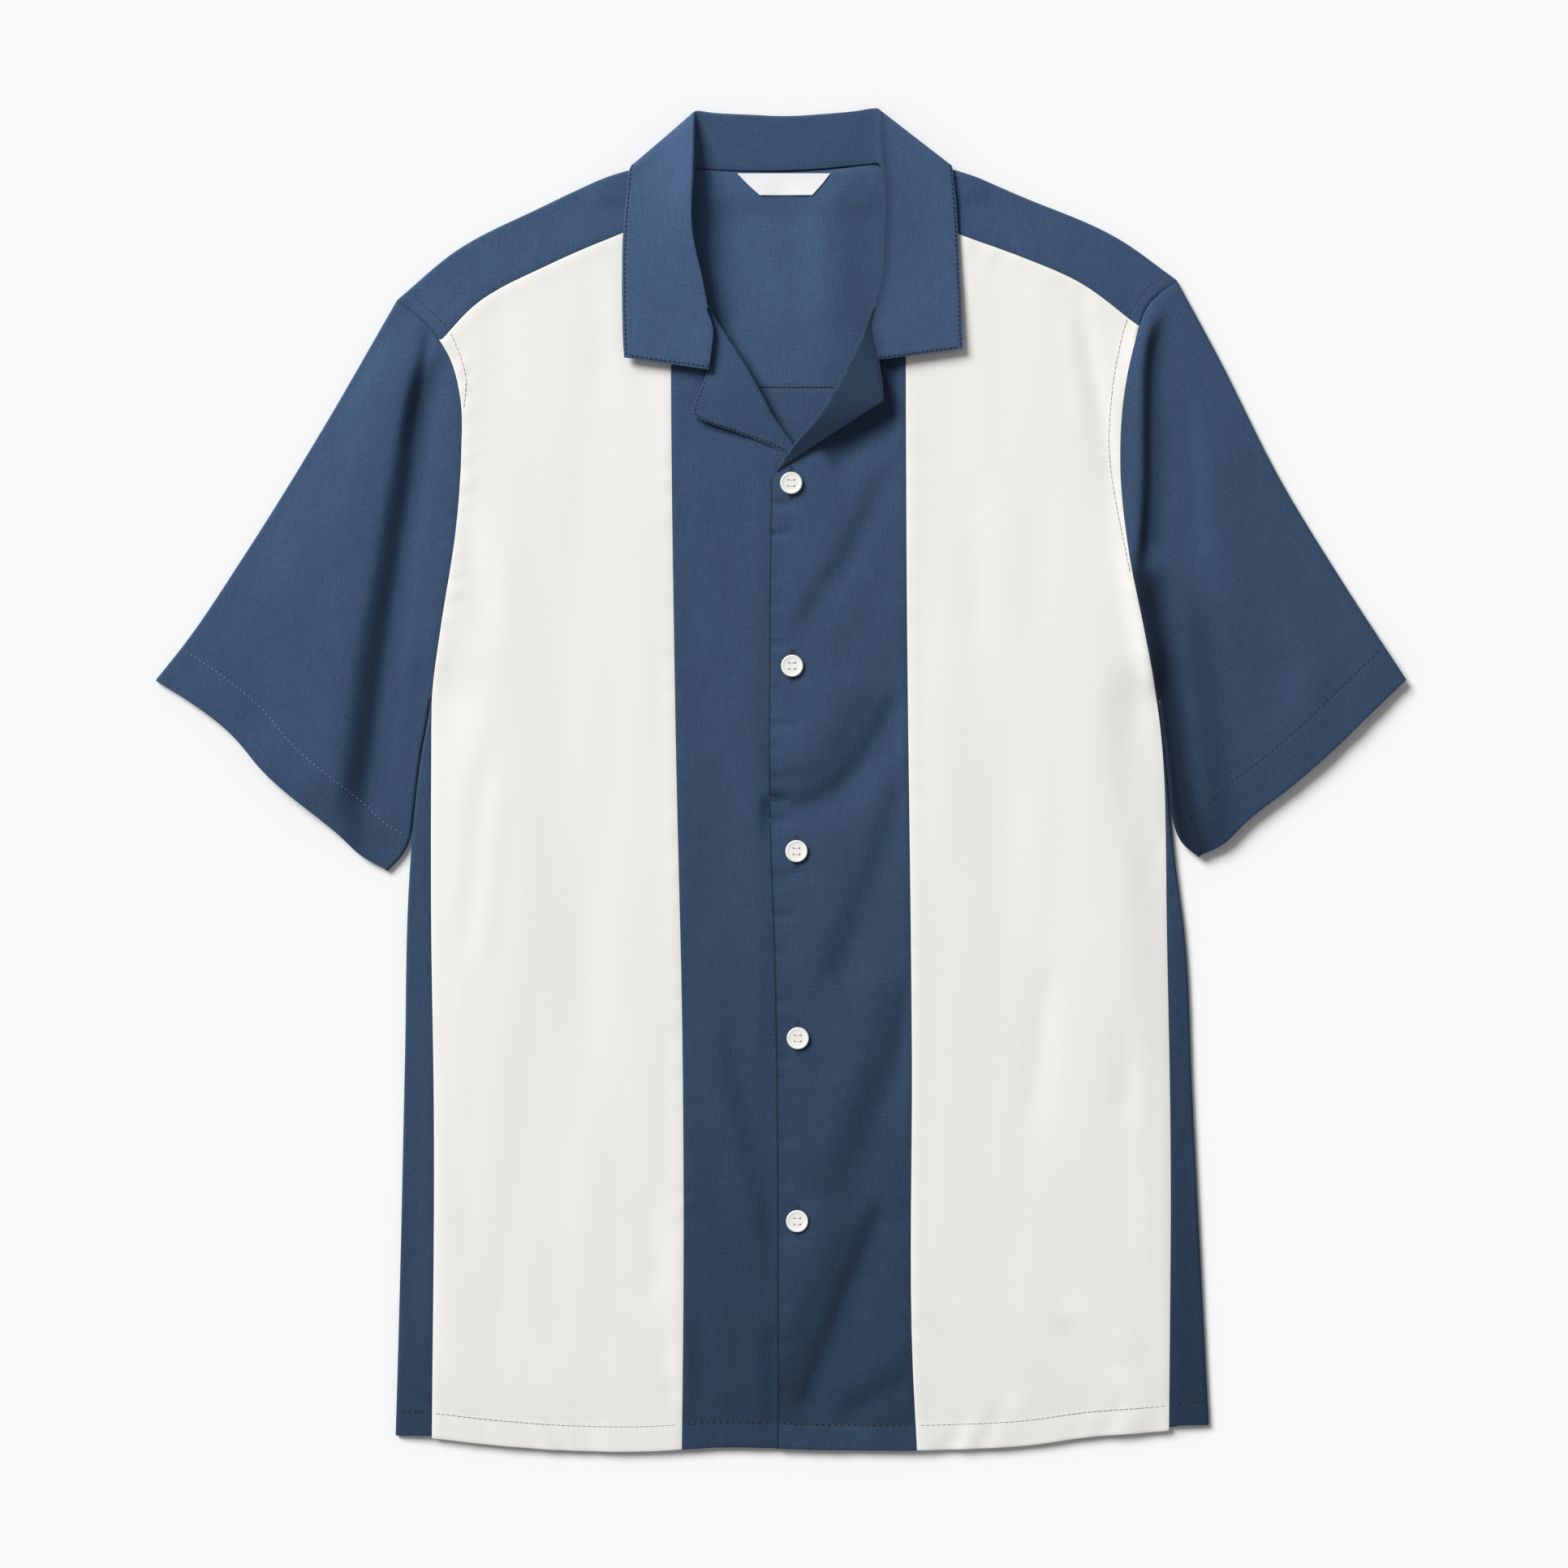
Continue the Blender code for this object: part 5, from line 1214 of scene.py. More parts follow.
def center_grids(side, top_of):
    """Front centre with its turned-back lapel, on its under face and the lapel's top."""
    rows_of = lapel_rows(side.name, LAPEL_ROWS)
    roll = rows_of[:, :2]
    inner = roll + normals_of(roll) * side.sign * ROLL_REACH
    neck_edge = smooth_line(NECK_EDGES[side.name])
    front_edge = EDGE_LINES[side.name]
    seam = shifted(YOKE_SEAMS[side.name], side.sign * SEAM / 2)
    princess = shifted(PRINCESS_SEAMS[side.name], -side.sign * SEAM / 2)
    hem_y = y_at(HEM_LINE, front_edge[-1][0])
    up = graded(front_edge[0][1] - hem_y, step=EDGE_STEP, end=False)
    edge_y = hem_y + (front_edge[0][1] - hem_y) * up
    neck_y = np.linspace(neck_edge[-1][1], y_at(seam, neck_edge[0][0]), NECK_ROWS)
    ends = [at_heights(front_edge, edge_y), inner[::-1], at_heights(neck_edge, neck_y)]
    ends = np.concatenate(ends)
    start_y = (y_at(HEM_LINE, princess[-1][0]), y_at(seam, princess[0][0]))
    starts = at_heights(princess, np.interp(ends[:, 1], (ends[0][1], ends[-1][1]), start_y))
    across = graded(CENTER_WIDTH)
    hem = at_widths(HEM_LINE, starts[0][0] + (ends[0][0] - starts[0][0]) * across)
    top = at_widths(seam, starts[-1][0] + (ends[-1][0] - starts[-1][0]) * across)
    panel = raised(patch(hem, top, starts, ends), top_of)
    below, rows = slice(len(edge_y)), slice(len(edge_y), len(edge_y) + len(inner))
    away = np.abs(panel[below, :, 0] - panel[below, -1:, 0])
    shown = smooth((edge_y - hem_y) / EDGE_FADE)[:, None]
    panel[below, :, 2] += edge_marks(away, FRONT_ROLL, 0.0) * shown
    panel[..., 2] -= sizes().wall / MM
    low = panel[rows, -1]
    crest = with_heights(low[:, :2], rows_of[::-1, 2])
    arc = folded_round(low, crest, roll[::-1] - low[:, :2], 1.0)
    edge = rows_of[::-1, 3:5]
    shares = graded(LAPEL_WIDTH, step=LAPEL_STEP, start=False)
    plans = between(crest[:, None, :2], edge[:, None], shares[None, :, None])
    heights = between(rows_of[::-1, 2][:, None], rows_of[::-1, 5][:, None], shares)
    width = np.linalg.norm(edge - crest[:, :2], axis=1)[:, None]
    heights += edge_marks((1.0 - shares) * width) * smooth(width / LAPEL_FADE)
    return [panel, arc, with_heights(plans, heights)]


def center_shade_paint(side, panel):
    """Painted tone of a front centre: paler in the hem's band, a painted shadow beside the left
    lapel, and a painted shadow line along the left front's edge.
    """
    hem = near([HEM_LINE], panel[..., :2].reshape(-1, 2)).reshape(panel.shape[:2])
    band = HEM_BAND_TONES[side.name] * smooth((HEM_DEPTH + HEM_BAND_TONE_STEP / 2 - hem) / HEM_BAND_TONE_STEP)
    if side is RIGHT:
        return band
    # Painted shadow line along the left front's edge, and the left lapel's painted shadow
    away = np.linalg.norm(panel[..., :2] - panel[:, -1:, :2], axis=2)
    end = FRONT_EDGES["left"][0][1] + EDGE_SHADOW_LINE_FADE / 2
    below = smooth((end - panel[..., 1]) / EDGE_SHADOW_LINE_FADE)
    shadow_line = EDGE_SHADOW_LINE * bump(away, EDGE_SHADOW_LINE_WIDTH) * below
    return band + grid_creases(panel, LEFT_FRONT_SHADOWS) + shadow_line


def collar_shade_paints(fall, roll):
    """Painted light on the fall and on the right roll, painted shade on the stand, on the left
    roll, which turns down, and on the fall beside it.
    """
    left = [smooth((part[..., 0] - ROLL_SHADE_START) / ROLL_SHADE_REACH) for part in (fall, roll)]
    turned = smooth((np.arange(roll.shape[1]) - STAND_PARTS) / 2.0)
    roll_paint = (COLLAR_PAINTED_LIGHT + (ROLL_PAINTED_SHADE - COLLAR_PAINTED_LIGHT) * left[1]) * turned
    gap = np.linalg.norm(fall[..., :2] - fall[:, :1, :2], axis=2)
    fall_paint = COLLAR_PAINTED_LIGHT + (ROLL_PAINTED_SHADE - COLLAR_PAINTED_LIGHT) * left[0] * bump(gap, ROLL_SHADE_WIDTH)
    return [fall_paint, STAND_PAINTED_SHADE * (1.0 - turned) + roll_paint]


def collar_rows():
    """Plan and heights of the collar's sections, right wing to left wing, as one table."""
    flatter = [(row[0], *ends, row[3]) for row, ends in zip(COLLAR_HEIGHTS, LEFT_ROLL)]
    right = [(*plan, *row, 0.0) for plan, row in zip(COLLAR_PLANS["right"], COLLAR_HEIGHTS)]
    left = [(*plan, *row, 0.0) for plan, row in zip(COLLAR_PLANS["left"], flatter)]
    middle = [(*COLLAR_MIDDLE, *COLLAR_HEIGHTS[-1], 0.0)]
    rows = np.array(right + middle + left[::-1], float)
    last = len(rows) - 1
    for place in range(len(rows)):
        from_end = min(place, last - place)
        rows[place, -1] = FALL_ROUND if from_end >= STAND_START else 0.0
        if from_end < STAND_START:
            start = STAND_START if place < last / 2 else last - STAND_START
            rows[place, [0, 1, 6, 7]] = rows[start, [0, 1, 6, 7]]
    return rows


def collar_places(rows):
    """Places of the collar's sections: closer lines beside the wings' lower edges."""
    last = len(rows) - 1
    wing = np.linalg.norm(rows[1, 4:6] - rows[0, 4:6])
    close = np.array(EDGE_OFFSETS) / wing
    inner = np.linspace(close[-1], last - close[-1], int((last - 2 * close[-1]) * 5) + 1)
    places = np.concatenate([close[:-1], inner, last - close[:-1][::-1]])
    stands = np.array([STAND_START, last - STAND_START], float)
    return np.unique(np.round(np.concatenate([places, stands]), 6))


def collar_grids():
    """Camp collar: the fall all along, and the stand and roll where the collar stands up."""
    table = collar_rows()
    places = collar_places(table)
    rows = along_rows(table, places)
    neck, roll, edge = rows[:, 0:2], rows[:, 2:4], rows[:, 4:6]
    neck_z, stand_z, fall_z, edge_z, fall_round = rows[:, 6:].T
    start = roll + unit(edge - roll) * fall_round[:, None]
    step = COLLAR_WIDTH / (FALL_LINES - len(EDGE_OFFSETS))
    u = graded(COLLAR_WIDTH, step=step, start=False)
    plans = between(start[:, None], edge[:, None], u[None, :, None])
    heights = edge_z[:, None] + (fall_z - edge_z)[:, None] * (1.0 - u) ** DROOP
    from_edge = (1.0 - u) * np.linalg.norm(edge - start, axis=1)[:, None]
    last = len(table) - 1
    wing = np.linalg.norm(table[1, 4:6] - table[0, 4:6])
    from_end = (np.minimum(places, last - places) * wing)[:, None]
    shown = smooth((edge_z - FLAT_WING) / FLAT_WING_FADE)[:, None]
    heights += edge_marks(np.minimum(from_edge, from_end)) * shown
    fall = with_heights(plans, heights)
    kept = (places >= STAND_START - 1e-6) & (places <= last - STAND_START + 1e-6)
    rim = fall[kept][:, 0]
    stand_end = with_heights(roll + unit(neck - roll) * STAND_ROUND, stand_z)[kept]
    foot = with_heights(neck, neck_z)[kept]
    back = unit(rim - fall[kept][:, 2])
    handle = np.linalg.norm(rim - stand_end, axis=1)[:, None] * ROLL_FULLNESS
    corners = (stand_end, stand_end + unit(stand_end - foot) * handle, rim + back * handle, rim)
    columns = [foot + (stand_end - foot) * t for t in np.linspace(0.0, 1.0, STAND_PARTS + 1)]
    for t in np.linspace(0.0, 1.0, ROLL_PARTS + 1)[1:]:
        shares = ((1 - t) ** 3, 3 * t * (1 - t) ** 2, 3 * t * t * (1 - t), t**3)
        columns.append(sum(share * corner for share, corner in zip(shares, corners)))
    return [fall, np.stack(columns, axis=1)]


def sleeve_layer(side, outer, underarm, seam_y, height_of):
    """One layer of a sleeve, from its outer fold to the armhole and the underarm fold."""
    edge = shifted(ARMHOLES[side.name], side.sign * SEAM / 2)
    across = graded(SLEEVE_WIDTH, start=False)
    first = at_heights(edge, outer[0][1] + (seam_y - outer[0][1]) * across)
    first[0] = outer[0]
    hole = at_heights(edge, np.linspace(seam_y, ARMPIT + ARMPIT_NOTCH, HOLE_ROWS + 1)[:-1])
    hole[0] = first[-1]
    inner = np.concatenate([hole, underarm])
    cuff = smooth_line([outer[-1], *side.cuff, underarm[-1]])
    return raised(patch(first, at_shares(cuff, across), outer, inner), height_of)


def sleeve_grids(side):
    """Sleeve: one flattened tube from the armhole to the cuff, folded outside and underneath."""
    inset, outward = fold_inset(side)
    tip = nearest(TOP_FOLDS[side.name], side.tip)
    shares = closing(lengths_along(inset[tip:])[-1], HOLE_ROWS + UNDER_ROWS)
    outer = at_shares(inset[tip:], shares)
    facing = unit(at_shares((inset + outward)[tip:], shares) - outer)
    outer[0] += (outer[1] - outer[0]) / np.linalg.norm(outer[1] - outer[0]) * SEAM
    fold = UNDERARMS[side.name]
    under_out = -normals_of(fold) * side.sign
    shares = closing(lengths_along(fold)[-1], UNDER_ROWS)
    underarm = at_shares(fold - under_out * FOLD_RADIUS, shares)
    under_facing = at_shares(fold - under_out * (FOLD_RADIUS - 1.0), shares) - underarm
    front_seam = YOKE_SEAMS[side.name][0][1]
    tops = (left_sleeve_top, cuff_lift) if side is LEFT else (front_top, floor_level)
    upper = sleeve_layer(side, outer, underarm, front_seam, tops[0])
    under = sleeve_layer(side, outer, underarm, BACK_YOKE_SEAM, tops[1])
    outer_fold = folded_round(under[:, 0], upper[:, 0], facing, FOLD_RADIUS)
    below = slice(HOLE_ROWS, None)
    inner_fold = folded_round(under[below, -1], upper[below, -1], under_facing, FOLD_RADIUS)
    return [upper, outer_fold, inner_fold, under]


def label_grid():
    """Bare label below the back neck seam, lying on the yoke's inner face."""
    rows = smooth_line(LABEL)
    x = between(rows[:, 1:2], rows[:, 2:3], graded(LABEL_WIDTH, step=LABEL_STEP))
    plans = np.stack([x, np.broadcast_to(rows[:, :1], x.shape)], axis=2)
    grid = raised(plans, neck_lift)
    grid[..., 2] += (sizes().wall + sizes().label_wall) / MM + SEAM
    low = smooth((rows[0, 0] - plans[..., 1]) / LABEL_FADE)
    grid[..., 2] += LABEL_WAVE * low * np.sin(x / LABEL_WAVE_LENGTH) ** 2
    return grid


def rod(form, point, way, length, thickness, sides=STITCH_SIDES, lean=0.0):
    """A short run of thread about a point and along a direction, in millimetres."""
    turn = way.to_track_quat("Z", "Y").to_matrix().to_4x4()
    bmesh.ops.create_cone(
        form,
        cap_ends=True,
        segments=sides,
        radius1=thickness * MM / 2,
        radius2=thickness * MM / 2,
        depth=length * MM,
        matrix=Matrix.Translation(Vector(point) * MM) @ Matrix.Rotation(lean, 4, "Z") @ turn,
    )


def thread_piece(name, form, look):
    """The object of some thread."""
    piece = finished(name, form, look)
    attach(piece, "root")


def sew(form, line, length, space, thread):
    """Stitches along a line of points, each leaning and long by a little of its own."""
    place = summed(np.linalg.norm(np.diff(line, axis=0), axis=1))
    middles = np.arange(space / 2, place[-1] - space / 2, space)
    points = at_places(line, place, middles)
    ways = at_places(line, place, middles + AHEAD) - points
    for number, (point, way) in enumerate(zip(points, ways)):
        lean = sum(size * math.sin(pace * number) for size, pace in STITCH_LEANS)
        run = length * (1.0 + UNEVEN_LENGTH * math.sin(UNEVEN_PACE * number))
        rod(form, point, Vector(way).normalized(), run, thread, lean=lean)


def over(plans, height_of, lift=STITCH_LIFT):
    """Points of a seam line on the cloth."""
    return with_heights(plans, height_of(plans) + lift)


def stitch_piece(name, lines, look, size=None):
    """One piece of sewing thread: rows of stitches along the lines."""
    form = bmesh.new()
    chosen = sizes()
    usual = (chosen.stitch / MM, (chosen.stitch + chosen.stitch_space) / MM, chosen.thread / MM)
    for line in lines:
        sew(form, line, *(size or usual))
    for face in form.faces:
        face.smooth = True
    thread_piece(f"shirt_{name}", form, look)


def hem_stitches(start, end, height_of=front_top):
    """The hem's stitch line between two x."""
    line = spread(shifted(HEM_LINE, HEM_DEPTH), HEM_PARTS)
    return over(line[(line[:, 0] > start) & (line[:, 0] < end)], height_of)


def cuff_line(name):
    """A cuff's stitch line."""
    sign = SIDES[name].sign
    line = spread(shifted(CUFFS[name], -sign * CUFF_DEPTH), CUFF_PARTS)
    inside = -sign * beside(TOP_FOLDS[name], line)[0] > FOLD_SPACE
    return line[inside & (sign * beside(UNDERARMS[name], line)[0] > FOLD_SPACE)]


def armhole_stitch_lines(on_yoke):
    """The topstitch lines beside the armholes, on the yoke or on the front."""
    lines = []
    for name, line in ARMHOLE_STITCHES.items():
        line = spread(line, ARMHOLE_PARTS)
        above = line[:, 1] - y_at(YOKE_SEAMS[name], line[:, 0])
        clear = near(FOLDED_EDGES, line) > 2.0
        lines.append(line[clear & ((above > 1.0) if on_yoke else (above < -1.0))])
    return lines


def collar_stitch_lines():
    """The topstitch lines of the collar's outer edge and of its wings' lower edges."""
    fall = collar_grids()[0]
    outer = []
    for row in fall:
        gap = np.linalg.norm(row[:, :2] - row[-1, :2], axis=1)[::-1]
        outer.append([np.interp(TOPSTITCH, gap, values[::-1]) for values in row.T])
    outer = np.array(outer)
    low = EDGE_OFFSETS.index(TOPSTITCH)
    shown = outer[:, 2] > SHOWN_STITCH
    middle = len(fall) // 2
    lines = [outer[part][shown[part]] for part in (slice(low, middle), slice(middle, -low))]
    for row in (fall[low], fall[-1 - low]):
        gap = np.linalg.norm(row[:, :2] - row[-1, :2], axis=1)
        lines.append(row[gap > TOPSTITCH])
    return [line + np.array([0.0, 0.0, STITCH_LIFT]) for line in lines]


def lapel_stitch_line(name):
    """The topstitch line along a lapel's free edge."""
    rows = lapel_rows(name, LAPEL_PARTS)
    inward = rows[:, :2] - rows[:, 3:5]
    gap = np.linalg.norm(inward, axis=1)
    plans = rows[:, 3:5] + inward / gap[:, None] * TOPSTITCH
    return with_heights(plans, rows[:, 5] + STITCH_LIFT - LAPEL_SINK)[gap > 2 * TOPSTITCH]


def buttonhole_bars(center):
    """The two close rows of a buttonhole's stitches and its two ends, as pairs of points."""
    x, y = center
    bars = []
    half, wide = BUTTONHOLE_LENGTH / 2, BUTTONHOLE_WIDTH / 2
    for step in np.arange(-half, half + 0.01, HOLE_STITCH_PITCH):
        for side in (-1.0, 1.0):
            inner = (x + side * BUTTONHOLE_SLIT / 2, y + step)
            bars.append((inner, (x + side * wide, y + step + HOLE_SLANT)))
    for end in (-1.0, 1.0):
        for step in np.arange(-wide, wide + 0.01, HOLE_STITCH_PITCH):
            bars.append(((x + step, y + end * half), (x + step, y + end * (half + HOLE_END))))
    return [over(np.array(bar), over_front_top, HOLE_STITCH_LIFT) for bar in bars]


class Value:
    """A socket of a material, so that sums of sockets read as Python."""

    def __init__(self, look, socket):
        self.look = look
        self.socket = socket

    def _math(self, operation, *values):
        made = self.look.node("ShaderNodeMath", {"operation": operation}, dict(enumerate(values)))
        return Value(self.look, made.outputs[0])

    def __add__(self, other):
        return self._math("ADD", self, other)

    __radd__ = __add__

    def __sub__(self, other):
        return self._math("SUBTRACT", self, other)

    def __rsub__(self, other):
        return self._math("SUBTRACT", other, self)

    def __mul__(self, other):
        return self._math("MULTIPLY", self, other)

    __rmul__ = __mul__

    def __truediv__(self, other):
        return self._math("DIVIDE", self, other)

    def __rtruediv__(self, other):
        return self._math("DIVIDE", other, self)

    def sine(self):
        return self._math("SINE", self)

    def clamped(self):
        return self._math("MINIMUM", self._math("MAXIMUM", self, 0.0), 1.0)


class Look:
    """One material and the ways to add nodes to it."""

    def __init__(self, name):
        self.material = bpy.data.materials.new(name)
        self.material.use_nodes = True
        self.tree = self.material.node_tree
        self.shader = self.tree.nodes["Principled BSDF"]

    def node(self, kind, settings=None, sockets=None):
        """A node with its settings, then the values or links of its sockets."""
        made = self.tree.nodes.new(kind)
        for name, setting in (settings or {}).items():
            setattr(made, name, setting)
        for name, value in (sockets or {}).items():
            self.feed(made.inputs[name], value)
        return made

    def feed(self, socket, value):
        """Link or set one socket."""
        if isinstance(value, Value):
            self.tree.links.new(value.socket, socket)
        else:
            socket.default_value = value

    def value(self, kind, settings=None, sockets=None, output=0):
        """The same node as a value."""
        return Value(self, self.node(kind, settings, sockets).outputs[output])

    def axes(self, vector):
        """The three parts of a vector."""
        parts = self.node("ShaderNodeSeparateXYZ", None, {"Vector": vector})
        return [Value(self, parts.outputs[place]) for place in range(3)]

    def noise(self, x, y, z=0.0, detail=2.0, roughness=0.5):
        """Noise from 0 to 1 at scaled coordinates."""
        place = self.value("ShaderNodeCombineXYZ", None, {0: x, 1: y, 2: z})
        facts = {"Vector": place, "Scale": 1.0, "Detail": detail, "Roughness": roughness}
        return self.value("ShaderNodeTexNoise", {"noise_dimensions": "3D"}, facts)

    def mixed(self, first, second, share):
        """Two colours mixed."""
        facts = {0: share, 6: first, 7: second}
        return self.value("ShaderNodeMix", {"data_type": "RGBA", "clamp_factor": True}, facts, 2)

    def bumped(self, height, strength, distance):
        """A normal from a height."""
        facts = {"Height": height, "Strength": strength, "Distance": distance}
        return self.value("ShaderNodeBump", None, facts)

    def shade(self, **values):
        """Sockets of the shader, by their names with _ for a space."""
        for name, value in values.items():
            self.feed(self.shader.inputs[name.replace("_", " ")], value)
        return self.material


def toned(colour, amount):
    """A colour made darker or lighter, for a colour socket."""
    return (*[min(max(part * amount, 0.0), 1.0) for part in colour], 1.0)


def twill_look(name, colour, contrast, relief, sheen, fade):
    """Twill: fine slanting ribs of uneven yarn, with painted light: paler at the shoulders and the
    wearer's right than at the hem.
    """
    look = Look(name)
    u, v, _ = look.axes(look.value("ShaderNodeUVMap", {"uv_map": "weave"}))
    x, y, _ = look.axes(look.value("ShaderNodeTexCoord", output=3))
    # Painted shade from the mesh's attribute darkens the tone; below 0 it is painted light
    shade = look.value("ShaderNodeAttribute", {"attribute_name": "nap"}, output=2)
    pitch = sizes().twill_pitch
    turn = 2.0 * math.pi / pitch
    wander = look.noise(u / 0.006, v / 0.006, detail=1.0)
    rib = ((u * RIB_ACROSS - v * RIB_ALONG) * turn + wander * 1.6).sine()
    cross = ((u * RIB_ACROSS + v * RIB_ALONG) * turn + wander * 1.2).sine()
    warp = look.noise(u / (pitch * 0.6), v / (pitch * 9.0), detail=2.0, roughness=0.6)
    weft = look.noise(u / (pitch * 9.0), v / (pitch * 0.6), 4.0, detail=2.0, roughness=0.6)
    cloud = look.noise(u / 0.02, v / 0.05, 9.0, detail=3.0)
    fleck = look.noise(u / (pitch * 1.1), v / (pitch * 1.1), 17.0, detail=1.0)
    tone = rib * 0.13 + cross * 0.08 + (warp - 0.5) * 1.1 + (weft - 0.5) * 0.8
    tone = (tone + (cloud - 0.5) * 0.6 + (fleck - 0.5) * 1.1 + 0.5).clamped()
    # Painted light: the tone is paler up the shirt and to the wearer's right, and the painted shade
    # takes it down; fade holds the darkest and palest shares of this painted light
    place = (y * PAINTED_LIGHT_UP - x * PAINTED_LIGHT_ACROSS + PAINTED_LIGHT_START - shade * SHADE_PAINT_DEPTH).clamped()
    low, high = [
        look.mixed(*[toned(colour, share * end) for end in fade], place)
        for share in (1.0 - contrast, 1.0 + contrast)
    ]
    height = rib * 0.3 + cross * 0.2 + (warp - 0.5) * 0.8 + (weft - 0.5) * 0.6
    rough = (0.86 + (fleck - 0.5) * 0.12 + (cloud - 0.5) * 0.06).clamped()
    return look.shade(
        Base_Color=look.mixed(low, high, tone),
        Roughness=rough,
        Specular_IOR_Level=0.12,
        Sheen_Weight=sheen,
        Sheen_Roughness=0.45,
        Normal=look.bumped(height, relief, pitch * 0.16),
    )


def satin_look(name, colour):
    """Woven satin of the bare label: fine cross ribs and a soft gloss."""
    look = Look(name)
    u, v, _ = look.axes(look.value("ShaderNodeUVMap", {"uv_map": "weave"}))
    rib = (v * (2.0 * math.pi / 0.0005)).sine()
    yarn = look.noise(u / 0.004, v / 0.0004, detail=2.0)
    tone = (rib * 0.08 + (yarn - 0.5) * 0.9 + 0.5).clamped()
    return look.shade(
        Base_Color=look.mixed(toned(colour, 0.92), toned(colour, 1.03), tone),
        Roughness=(0.4 + (yarn - 0.5) * 0.2).clamped(),
        Sheen_Weight=0.1,
        Normal=look.bumped(rib * 0.6 + yarn, 0.35, 0.00006),
    )


def button_look(name, colour):
    """Polished cream plastic with a faint swirl."""
    look = Look(name)
    x, y, z = look.axes(look.value("ShaderNodeTexCoord", output=3))
    swirl = look.noise(x / 0.004, y / 0.007, z / 0.004, detail=4.0, roughness=0.6)
    haze = look.noise(x / 0.0006, y / 0.0006, z / 0.0006, detail=2.0)
    tone = (0.5 + (swirl - 0.5) * 1.6).clamped()
    return look.shade(
        Base_Color=look.mixed(toned(colour, 0.96), toned(colour, 1.03), tone),
        Roughness=(0.26 + haze * 0.12).clamped(),
        Coat_Weight=0.35,
        Coat_Roughness=0.12,
        Normal=look.bumped(haze, 0.08, 0.00005),
    )


def thread_look(name, colour):
    """Twisted sewing thread with a little gloss."""
    look = Look(name)
    x, y, z = look.axes(look.value("ShaderNodeTexCoord", output=3))
    twist = ((x + y + z) * (2.0 * math.pi / 0.0007)).sine()
    fuzz = look.noise(x / 0.0003, y / 0.0003, z / 0.0003, detail=2.0)
    tone = (0.5 + twist * 0.25 + (fuzz - 0.5) * 0.8).clamped()
    return look.shade(
        Base_Color=look.mixed(toned(colour, 0.75), toned(colour, 1.15), tone),
        Roughness=(0.55 + (fuzz - 0.5) * 0.2).clamped(),
        Normal=look.bumped(twist, 0.3, 0.00005),
    )


def paper_look(name, colour):
    """The pale sheet that the shirt lies on."""
    look = Look(name)
    x, y, _ = look.axes(look.value("ShaderNodeTexCoord", output=3))
    grain = look.noise(x / 0.003, y / 0.003, detail=3.0)
    return look.shade(
        Base_Color=look.mixed(toned(colour, 0.996), toned(colour, 1.004), grain),
        Roughness=0.9,
        Specular_IOR_Level=0.1,
    )


# A twill's last entry is the range of its painted light, as shares of its colour from darkest to
# palest
LOOKS = {
    "Blue twill": (twill_look, "blue", 0.21, 0.65, 0.06, (0.25, 1.4)),
    "Cream twill": (twill_look, "cream", 0.009, 0.1, 0.03, (0.9, 1.062)),
    "Label satin": (satin_look, "label"),
    "Button cream": (button_look, "button"),
    "Navy thread": (thread_look, "dark_thread"),
    "Cream thread": (thread_look, "pale_thread"),
    "Shaded cream thread": (thread_look, "shaded_thread"),
    "Faded blue thread": (thread_look, "faded_thread"),
    "Buttonhole thread": (thread_look, "hole_thread"),
    "Floor paper": (paper_look, "floor"),
}


def kept_look(name):
    """A material, made once, in the colour that the panel shows."""
    make, colour, *facts = LOOKS[name]
    return bpy.data.materials.get(name) or make(name, getattr(finishes(), colour), *facts)


def button_mesh():
    """A four-hole button round the origin, with its holes cut."""
    form = bmesh.new()
    line = [form.verts.new((radius * MM, 0.0, height * MM)) for radius, height in BUTTON_PROFILE]
    edges = [form.edges.new(pair) for pair in zip(line, line[1:])]
    bmesh.ops.spin(
        form,
        geom=line + edges,
        cent=(0.0, 0.0, 0.0),
        axis=(0.0, 0.0, 1.0),
        dvec=(0.0, 0.0, 0.0),
        angle=2.0 * math.pi,
        steps=BUTTON_SIDES,
        use_merge=True,
    )
    bmesh.ops.remove_doubles(form, verts=form.verts, dist=0.001 * MM)
    bmesh.ops.recalc_face_normals(form, faces=form.faces)
    look = kept_look("Button cream")
    blank = finished("button_blank", form, look)
    cut = bmesh.new()
    for i in (-1, 1):
        for j in (-1, 1):
            bmesh.ops.create_cone(
                cut,
                cap_ends=True,
                segments=HOLE_SIDES,
                radius1=HOLE_RADIUS * MM,
                radius2=HOLE_RADIUS * MM,
                depth=3.0 * BUTTON_HEIGHT * MM,
                matrix=Matrix.Translation(Vector((i * HOLE_PLACE, j * HOLE_PLACE, 0.0)) * MM),
            )
    cutter = finished("button_cutter", cut, look)
    holes = blank.modifiers.new("Holes", "BOOLEAN")
    holes.operation = "DIFFERENCE"
    holes.solver = "EXACT"
    holes.object = cutter
    graph = bpy.context.evaluated_depsgraph_get()
    mesh = bpy.data.meshes.new_from_object(blank.evaluated_get(graph))
    for spare in (blank, cutter):
        bpy.data.objects.remove(spare)
    mesh.shade_smooth()
    mesh.set_sharp_from_angle(angle=math.radians(BUTTON_SHARP))
    return mesh


def button_base(center):
    """Height of the cloth that carries a button."""
    turns = np.linspace(0.0, 2.0 * math.pi, 13)
    around = np.array([(math.cos(turn), math.sin(turn)) for turn in turns])
    ring = np.array(center) + around * BUTTON_RADIUS * BUTTON_SEAT
    return float(over_front_top(ring).mean()) + SEAM


